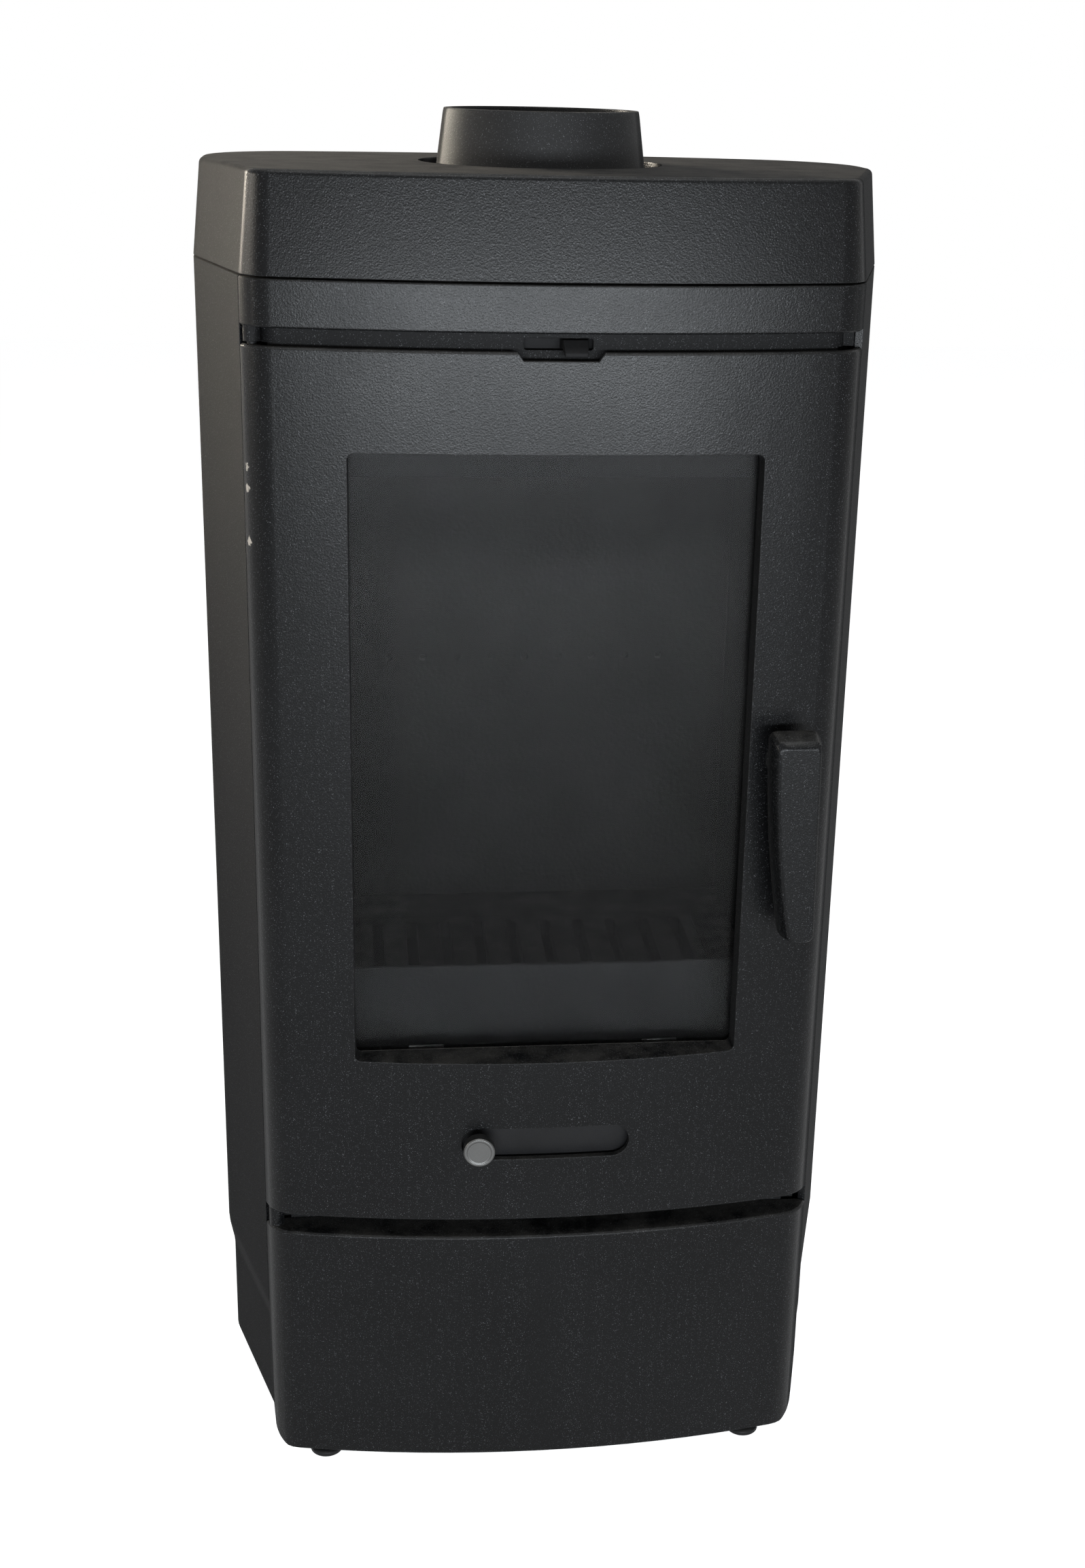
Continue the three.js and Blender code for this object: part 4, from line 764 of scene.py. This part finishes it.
fastener_steel = zinc_steel("fastener_steel", roughness=0.52)
dress("latch_keeper", "keeper_angle", "stove_body", "steel", fastener_steel, width=KEEPER_EDGE)
for number in (1, 2):
    pan_screw(
        f"keeper_screw_{number}", f"keeper_fixing_{number}", "stove_body", fastener_steel,
        KEEPER_SCREW_RADIUS, driven=1,
    )


# ---- Top plate and flue collar ----
# A tapered cast collar for a 150 mm pipe is bolted to the plate that closes the body above. The
# line down its front and back is where the halves of its mould met.

COLLAR_BORE = 0.069
COLLAR_RIM = 0.075
COLLAR_TAPER = 0.127
COLLAR_FLANGE_HEIGHT = 0.008
COLLAR_FOOT_STEP = 0.002
COLLAR_FOOT_RISE = 0.003
COLLAR_LIP_DEPTH = 0.004
COLLAR_LIP_OUT = 0.0006
COLLAR_LIP_IN = 0.0002
COLLAR_EDGE = 0.0006
MOULD_LINE_HALF = 0.0009
MOULD_LINE_RISE = 0.0004

dress("top_plate", "plate_casting", "stove_body", "raw_iron", body_iron)

collar_low, collar_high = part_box("flue_collar")
collar_flange = (collar_high.x - collar_low.x) / 2
collar_middle = Vector((0, (collar_low.y + collar_high.y) / 2, collar_low.z))
collar_height = collar_high.z - collar_low.z
collar_foot = COLLAR_RIM + COLLAR_TAPER * (collar_height - COLLAR_FLANGE_HEIGHT)
collar = turn_profile(
    [(COLLAR_BORE, 0), (collar_flange, 0), (collar_flange, COLLAR_FLANGE_HEIGHT),
     (collar_foot + COLLAR_FOOT_STEP, COLLAR_FLANGE_HEIGHT),
     (collar_foot, COLLAR_FLANGE_HEIGHT + COLLAR_FOOT_RISE),
     (COLLAR_RIM + COLLAR_LIP_OUT, collar_height - COLLAR_LIP_DEPTH),
     (COLLAR_RIM - COLLAR_LIP_IN, collar_height), (COLLAR_BORE, collar_height), (COLLAR_BORE, 0)],
    collar_middle, steps=128,
)
for side in (-1, 1):
    pick(collar)
    select_mesh()
    bpy.ops.mesh.bisect(plane_co=(side * MOULD_LINE_HALF, 0, 0), plane_no=(1, 0, 0))
for facing in (-1, 1):
    pick(collar)
    for vertex in collar.data.vertices:
        out = (vertex.co.y - collar_middle.y) * facing
        level = vertex.co.z - collar_middle.z
        vertex.select = (
            abs(vertex.co.x) < 0.0001
            and out > COLLAR_RIM - 0.001
            and COLLAR_FLANGE_HEIGHT + 0.001 < level < collar_height - 0.002
        )
    bpy.ops.object.mode_set(mode="EDIT")
    bpy.ops.transform.translate(value=(0, facing * MOULD_LINE_RISE, 0))
round_edges(collar, width=COLLAR_EDGE)
collar_paint = cast_paint("collar_paint", roughness=0.66, sheen=0.19, wear=0.45, dust=0.35)
fit(collar, "collar", "stove_body", collar_paint, "flue_collar")
for number in range(1, 4):
    hex_bolt(f"collar_bolt_{number}", f"collar_fixing_{number}", "stove_body", "up", bolt_steel)


# ---- Top cover ----
# A hollow painted casting that lifts off. Its walls follow the body's outline and lean in a little
# to the top, which has a round opening for the collar. Four posts inside stand on the top plate.

BOW_TURN = math.radians(11.107)
FRONT_CORNER = Vector((0.19822, 0.04927, 0))
FRONT_CORNER_TURN = math.radians(62.389)
SIDE_HEADING = math.radians(73.495)
SIDE_RUN = 0.13215
SHOULDER = Vector((0.207, 0.1845, 0))
REAR_RUN = 0.02388
REAR_CORNER = Vector((0.167, 0.20838, 0))
REAR_CORNER_TURN = math.radians(77.951)
BACK_CENTRE = Vector((0, -0.574, 0))
BACK_TURN = math.radians(12.049)
COVER_SEAM = 0.0015
COVER_DRAFT = 0.007
COVER_TOP_EDGE = 0.004
COVER_ROUNDING = 0.0011
COVER_WALL = 0.007
COVER_HOLE = 0.094
COVER_POSTS = ((-0.165, 0.070), (0.165, 0.070), (-0.165, 0.262), (0.165, 0.262))
COVER_POST_RADIUS = 0.009
COVER_POST_INSET = 0.001

cover_low, cover_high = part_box("top_cover")
front_line = Vector((0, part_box("front_apron")[0].y, 0))
cover_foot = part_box("front_frame")[1].z + COVER_SEAM


def turn_edge(centre, turn, steps):
    """Carries the outline round a centre, as seen from above to the left as it goes on."""
    bpy.ops.mesh.spin(steps=steps, angle=-turn, center=centre, axis=(0, 0, 1))


def outline_face(height):
    """The body's outline from above as one level face."""
    level = front_line + Vector((0, 0, height))
    start_outline(level)
    turn_edge(level + Vector((0, BOW_RADIUS, 0)), BOW_TURN, 14)
    turn_edge(level + FRONT_CORNER, FRONT_CORNER_TURN, 10)
    draw_on((SIDE_RUN * math.cos(SIDE_HEADING), SIDE_RUN * math.sin(SIDE_HEADING), 0))
    turn_edge(level + SHOULDER, math.pi / 2 - SIDE_HEADING, 5)
    draw_on((0, REAR_RUN, 0))
    turn_edge(level + REAR_CORNER, REAR_CORNER_TURN, 16)
    turn_edge(level + BACK_CENTRE, BACK_TURN, 8)
    bpy.ops.object.mode_set(mode="OBJECT")
    bpy.ops.object.transform_apply(location=True)
    made = bpy.context.object
    shape_by(made, "other_half", "MIRROR", merge_threshold=0.0002)
    select_mesh()
    bpy.ops.mesh.edge_face_add()
    bpy.ops.object.mode_set(mode="OBJECT")
    if made.data.polygons[0].normal.z < 0:
        bpy.ops.object.mode_set(mode="EDIT")
        bpy.ops.mesh.flip_normals()
        bpy.ops.object.mode_set(mode="OBJECT")
    return made


cover = outline_face(cover_foot)
select_mesh()
bpy.ops.mesh.inset(thickness=COVER_DRAFT, depth=cover_high.z - cover_foot)
bpy.ops.mesh.select_mode(type="FACE")
bpy.ops.mesh.region_to_loop()
bpy.ops.mesh.bevel(offset=COVER_TOP_EDGE, segments=5, affect="EDGES")
bpy.ops.object.mode_set(mode="OBJECT")
shape_by(cover, "wall", "SOLIDIFY", thickness=COVER_WALL, offset=-1, use_even_offset=True)
leave_editing()
bpy.ops.mesh.primitive_cylinder_add(
    vertices=128, radius=COVER_HOLE, depth=0.05, location=(0, collar_middle.y, cover_high.z)
)
take_away(cover, bpy.context.object)
posts = []
post_height = cover_high.z - COVER_WALL - cover_low.z + COVER_POST_INSET
for x, y in COVER_POSTS:
    leave_editing()
    bpy.ops.mesh.primitive_cylinder_add(
        vertices=32, radius=COVER_POST_RADIUS, depth=post_height,
        location=(x, front_line.y + y, cover_low.z + post_height / 2),
    )
    posts.append(bpy.context.object)
cover = merge_pieces(cover, *posts)
round_edges(cover, width=COVER_ROUNDING)
fit(cover, "cover", "stove_body", castings_paint, "top_cover")


# ---- Firebox ----
# Unpainted castings line the fire: a slotted grate in the floor, liners at the back and sides, with
# a row of air holes in the back one, a sloping baffle above, and a guard that keeps the logs in.

FIRE_IRON_DARK = (0.012, 0.0117, 0.0114, 1)
FIRE_IRON_LIGHT = (0.032, 0.031, 0.030, 1)
GUARD_DARK = (0.026, 0.027, 0.028, 1)
GUARD_LIGHT = (0.046, 0.047, 0.048, 1)
LINING_EDGE = 0.0008
GRATE_EDGE = 0.0010
GUARD_EDGE = 0.0014

fire_iron = bare_iron("fire_iron", FIRE_IRON_DARK, FIRE_IRON_LIGHT, wear=0.6, dust=0.45, relief=0.3)
guard_iron = bare_iron("guard_iron", GUARD_DARK, GUARD_LIGHT, wear=0.3, dust=0.3, relief=0.3)

for node, name in (
    ("firebox_floor", "fire_floor"), ("rear_liner", "back_liner"), ("side_liner_left", "liner_left"),
    ("side_liner_right", "liner_right"), ("baffle", "baffle_plate"),
):
    dress(node, name, "stove_body", "raw_iron", fire_iron, width=LINING_EDGE)

dress("grate", "grate_bars", "stove_body", "raw_iron", fire_iron, width=GRATE_EDGE)
dress("log_guard", "guard", "stove_body", "raw_iron", guard_iron, width=GUARD_EDGE)


# ---- Ash chamber ----
# Below the fire an open cast box stands on the ash floor, round a pan of folded zinc-coated sheet
# with a pull on its front.

SPANGLE_SIZE = 0.009
PAN_DARK = (0.070, 0.071, 0.073, 1)
PAN_LIGHT = (0.130, 0.132, 0.135, 1)
PAN_EDGE = 0.0005


def spangled_sheet(name):
    """Hot-dipped zinc on sheet steel, with its patchwork of crystals, greyed by ash."""
    made, tree, shader = new_finish(name, 0.42, metallic=1.0)
    where = own_place(tree, (-1300, 100))
    crystals = add_node(
        tree, "ShaderNodeTexVoronoi", (-1100, 200), vector=where, scale=1 / SPANGLE_SIZE
    )
    shade = add_node(
        tree, "ShaderNodeSeparateColor", (-900, 200), color=crystals.outputs["Color"]
    )
    ash = use_group(tree, settled_dust, (-900, -160), patch_size=0.02, amount=0.9)
    lay_coats(
        tree, shader, (-600, 240), PAN_DARK, (shade.outputs[0], PAN_LIGHT), (ash["Mask"], IRON_DUST)
    )
    gloss = stretch(tree, (-600, 0), shade.outputs[1], 0, 1, 0.34, 0.55)
    feed(tree, gloss, shader.inputs["Roughness"])
    return made


for node, name in (("ash_floor", "ash_floor_plate"), ("ash_box", "ash_walls")):
    dress(node, name, "stove_body", "raw_iron", fire_iron, width=LINING_EDGE)

dress("ash_pan", "pan", "stove_body", "pan_steel", spangled_sheet("pan_sheet"), width=PAN_EDGE)


# ---- Door ----
# One painted casting with a tapered window opening, a boss for the handle, a slot for air and hinge
# bosses inside its left edge. Its paint is chipped in three spots on that edge.

CHIP_PLACES = ((-0.2262, -0.1174, 0.8494), (-0.2260, -0.1174, 0.8336), (-0.2254, -0.1174, 0.7937))
CHIP_RADIUS = 0.0030
CHIP_COLOUR = (0.26, 0.24, 0.21, 1)
BEYOND_DOOR = 1.0


def chip_paint(paint, name):
    """A copy of the casting paint with small bare chips."""
    made, tree, shader = copy_paint(paint, name)
    coat = shader.inputs["Base Color"].links[0].from_socket
    where = own_place(tree, (-1500, 760))
    ragged = add_noise(tree, (-1300, 960), where, 420, 3.0)
    nearest = BEYOND_DOOR
    for number, chip in enumerate(CHIP_PLACES):
        row = 760 - 160 * number
        away = vector_step(tree, (-1300, row), "DISTANCE", where, chip)
        nearest = work_out(tree, (-1100, row), "MINIMUM", nearest, away["Value"])
    rough_rim = work_out(tree, (-900, 760), "MULTIPLY_ADD", ragged, CHIP_RADIUS * 2, nearest)
    inside = stretch(tree, (-700, 760), rough_rim, CHIP_RADIUS * 2.2, CHIP_RADIUS * 1.9)
    lay_coats(tree, shader, (100, 500), coat, (inside, CHIP_COLOUR))
    return made


door_paint = chip_paint(castings_paint, "door_paint")
dress("door", "door_casting", "door_leaf", "cast_paint", door_paint)


# ---- Window ----
# A flat pane of smoked ceramic glass lies against a woven tape behind the opening. Four screwed
# clips hold it from inside.

GLASS_TINT = (0.41, 0.415, 0.42, 1)
GLASS_GLOSS = 1.10
HAZE_GLOSS = 1.12
HAZE_SPREAD = 0.28
PANE_EDGE = 0.0006
TAPE_DARK = (0.16, 0.155, 0.145, 1)
TAPE_LIGHT = (0.34, 0.33, 0.31, 1)
TAPE_THREAD = 0.0011
CLIP_EDGE = 0.0003
CLIP_SCREW_RADIUS = 0.0040


def fire_glass(name):
    """Ceramic fire glass, smooth and faintly hazed in patches."""
    made, tree, shader = new_finish(name, 0.03)
    shader.inputs["Base Color"].default_value = GLASS_TINT
    shader.inputs["Transmission Weight"].default_value = 1.0
    shader.inputs["IOR"].default_value = GLASS_GLOSS
    shader.inputs["Coat Weight"].default_value = 1.0
    shader.inputs["Coat IOR"].default_value = HAZE_GLOSS
    shader.inputs["Coat Roughness"].default_value = HAZE_SPREAD
    haze = add_noise(tree, (-700, 0), own_place(tree, (-900, 0)), 9, 5.0, 0.6)
    feed(tree, stretch(tree, (-450, 0), haze, 0.4, 0.75, 0.015, 0.07), shader.inputs["Roughness"])
    return made


def add_threads(tree, place, where, across, thread, **wobble):
    """Threads side by side, from 0 between them to 1 along their tops."""
    made = add_node(
        tree, "ShaderNodeTexWave", place,
        bands_direction=across, vector=where, scale=math.pi / (10 * thread), **wobble,
    )
    return made.outputs["Fac"]


def woven_tape(name):
    """Flat glass-fibre tape: threads over and under each other."""
    made, tree, shader = new_finish(name, 0.92)
    where = own_place(tree, (-1300, 0))
    wobble = {"distortion": 1.2, "detail_scale": 2.0}
    warp = add_threads(tree, (-1050, 160), where, "X", TAPE_THREAD, **wobble)
    weft = add_threads(tree, (-1050, -160), where, "Z", TAPE_THREAD, **wobble)
    weave = work_out(tree, (-800, 0), "MULTIPLY", warp, weft)
    lay_coats(tree, shader, (-500, 200), TAPE_DARK, (weave, TAPE_LIGHT))
    emboss(tree, shader, weave, 0.8, 0.0004)
    return made


dress("door_glass", "pane", "door_leaf", "glass", fire_glass("fire_glass"), width=PANE_EDGE)

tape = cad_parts["glass_gasket"].data
tape.materials.clear()
tape.materials.append(woven_tape("glass_tape"))

for number in range(1, 5):
    dress(
        f"glass_clip_{number}", f"pane_clip_{number}", "door_leaf", "steel", fastener_steel,
        width=CLIP_EDGE,
    )
    pan_screw(
        f"clip_screw_{number}", f"pane_screw_{number}", "door_leaf", fastener_steel,
        CLIP_SCREW_RADIUS, driven=-1,
    )


# ---- Door rope ----
# A knitted glass-fibre rope pressed into the groove round the door's inner side. It seals the door
# against the frame.

ROPE_CORNER = 0.016
ROPE_STITCH = 0.0032
ROPE_PLAY = 0.0001
ROPE_DARK = (0.030, 0.029, 0.028, 1)
ROPE_LIGHT = (0.13, 0.125, 0.12, 1)


def knitted_rope(name):
    """Grey knitted glass fibre: two sets of stitches that cross at a right angle."""
    made, tree, shader = new_finish(name, 0.95)
    where = own_place(tree, (-1500, 0))
    stitches = []
    for row, lean in ((200, math.radians(45)), (-200, math.radians(-45))):
        turned = add_node(
            tree, "ShaderNodeMapping", (-1300, row), vector=where, rotation=(0, lean, 0)
        )
        stitches.append(
            add_threads(tree, (-1050, row), turned.outputs[0], "X", ROPE_STITCH, distortion=0.6)
        )
    knit = work_out(tree, (-800, 0), "MAXIMUM", *stitches)
    lay_coats(tree, shader, (-500, 200), ROPE_DARK, (knit, ROPE_LIGHT))
    emboss(tree, shader, knit, 1.0, 0.0012)
    return made


rope_low, rope_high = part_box("door_rope")
rope_radius = (rope_high.y - rope_low.y) / 2
leave_editing()
bpy.ops.mesh.primitive_circle_add(
    vertices=16, radius=rope_radius - ROPE_PLAY,
    location=(0, (rope_low.y + rope_high.y) / 2, rope_low.z + rope_radius),
    rotation=(0, math.pi / 2, 0),
)
bpy.ops.object.transform_apply(location=True, rotation=True)
rope = bpy.context.object
rope_left = rope_low.x + rope_radius + ROPE_CORNER
rope_right = rope_high.x - rope_radius - ROPE_CORNER
rope_bottom = rope_low.z + rope_radius + ROPE_CORNER
rope_top = rope_high.z - rope_radius - ROPE_CORNER
select_mesh()
for x, z, run in (
    (rope_right, rope_bottom, (rope_right, 0, 0)),
    (rope_right, rope_top, (0, 0, rope_top - rope_bottom)),
    (rope_left, rope_top, (rope_left - rope_right, 0, 0)),
    (rope_left, rope_bottom, (0, 0, rope_bottom - rope_top)),
):
    draw_on(run)
    bpy.ops.mesh.spin(steps=8, angle=math.pi / 2, center=(x, 0, z), axis=(0, 1, 0))
draw_on((-rope_left, 0, 0))
close_up(0.00005)
bpy.ops.object.shade_smooth()
fit(rope, "rope", "door_leaf", knitted_rope("knitted_rope"), "door_rope")


# ---- Hinge pins ----
# Two plain steel pins, turned and blackened, join the door's bosses to the apron below and the band
# above. The door turns about the line through both.

pin_steel = black_steel("pin_steel", roughness=0.5, wear=0.25, dust=0.0)
for place in ("lower", "upper"):
    pin_low, pin_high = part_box("hinge_pin_" + place)
    pin_radius = (pin_high.x - pin_low.x) / 2
    pin_length = pin_high.z - pin_low.z
    chamfer = pin_radius / 6
    pin = turn_profile(
        [(0, 0), (pin_radius - chamfer, 0), (pin_radius, chamfer), (pin_radius, pin_length - chamfer),
         (pin_radius - chamfer, pin_length), (0, pin_length)],
        Vector(((pin_low.x + pin_high.x) / 2, (pin_low.y + pin_high.y) / 2, pin_low.z)), steps=32,
    )
    round_edges(pin, width=chamfer / 4)
    fit(pin, "door_pin_" + place, "stove_body", pin_steel, "hinge_pin_" + place)


# ---- Handle and latch ----
# A cast lever, painted as the door is, hangs from a steel spindle through the door's boss. The cam
# on the spindle's inner end catches the keeper.

LEVER_EDGE = 0.0016
LEVER_CORNER = math.radians(24)
LATCH_EDGE = 0.0004

dress(
    "handle", "lever", "handle_lever", "cast_paint", castings_paint,
    width=LEVER_EDGE, corner=LEVER_CORNER,
)
for node, name in (("handle_spindle", "spindle"), ("latch_cam", "cam"), ("cam_nut", "cam_lock_nut")):
    dress(node, name, "handle_lever", "steel", bolt_steel, width=LATCH_EDGE)


# ---- Air slide ----
# A black sheet behind the door's slot runs in two rails and turns about the centre of the door's
# bow. It carries a turned, nickel-plated knob.

SLOT_CENTRE_HEIGHT = 0.305
SLIDE_START = math.radians(-2.92)
KNOB_RADIUS = 0.0127
KNOB_RIM = 0.0026
KNOB_DISH = 0.0006
KNOB_BACK = 0.0132
KNOB_FRONT = 0.0232
KNOB_BACK_EDGE = 0.0008
KNOB_FRONT_EDGE = 0.0010
KNOB_DISH_EDGE = 0.0008
KNOB_ROUNDING = 0.0003
KNOB_FOOT_DEPTH = 0.0092
KNOB_STEM_RADIUS = 0.0040
TURNING_RINGS = 0.00045
NICKEL_DARK = (0.055, 0.055, 0.054, 1)
NICKEL_LIGHT = (0.096, 0.096, 0.094, 1)


def turned_nickel(name, centre, turn):
    """Satin nickel with the lathe's rings round the line through centre."""
    made, tree, shader = new_finish(name, 0.36, metallic=1.0)
    own = add_node(
        tree, "ShaderNodeMapping", (-1300, 0), vector_type="TEXTURE",
        vector=own_place(tree, (-1500, 0)), location=centre, rotation=(0, 0, turn),
    )
    flat = vector_step(tree, (-1100, 0), "MULTIPLY", own.outputs[0], (1, 0, 1))
    out = vector_step(tree, (-900, 0), "LENGTH", flat["Vector"])
    rings = add_node(
        tree, "ShaderNodeTexNoise", (-700, 0),
        noise_dimensions="1D", w=out["Value"], scale=1 / TURNING_RINGS, detail=2.0,
    ).outputs["Fac"]
    lay_coats(tree, shader, (-400, 260), NICKEL_DARK, (rings, NICKEL_LIGHT))
    feed(tree, stretch(tree, (-400, 0), rings, 0, 1, 0.30, 0.46), shader.inputs["Roughness"])
    emboss(tree, shader, rings, 0.25, 0.0001)
    return made


dress("air_slide_plate", "slide_sheet", "air_slide", "black_steel", sheet_steel, width=STRIP_EDGE)

for node in ("air_rail_lower", "air_rail_upper"):
    dress(node, node + "_strip", "door_leaf", "black_steel", sheet_steel, width=STRIP_EDGE)

knob = turn_profile(
    [(0, 0), (KNOB_STEM_RADIUS, 0), (KNOB_STEM_RADIUS, KNOB_BACK),
     (KNOB_RADIUS - KNOB_BACK_EDGE, KNOB_BACK), (KNOB_RADIUS, KNOB_BACK + KNOB_BACK_EDGE),
     (KNOB_RADIUS, KNOB_FRONT - KNOB_FRONT_EDGE), (KNOB_RADIUS - KNOB_FRONT_EDGE, KNOB_FRONT),
     (KNOB_RADIUS - KNOB_RIM, KNOB_FRONT),
     (KNOB_RADIUS - KNOB_RIM - KNOB_DISH_EDGE, KNOB_FRONT - KNOB_DISH), (0, KNOB_FRONT - KNOB_DISH)],
    steps=72,
)
round_edges(knob, width=KNOB_ROUNDING)
slide_turn = Matrix.Rotation(SLIDE_START, 4, "Z")
knob_reach = slide_turn @ Vector((0, KNOB_FOOT_DEPTH - BOW_RADIUS, SLOT_CENTRE_HEIGHT))
knob_foot = bow_centre + knob_reach
knob.rotation_euler = (math.pi / 2, 0, SLIDE_START)
knob.location = knob_foot
knob_finish = turned_nickel("turned_nickel", knob_foot, SLIDE_START)
fit(knob, "knob", "air_slide", knob_finish, "air_knob")
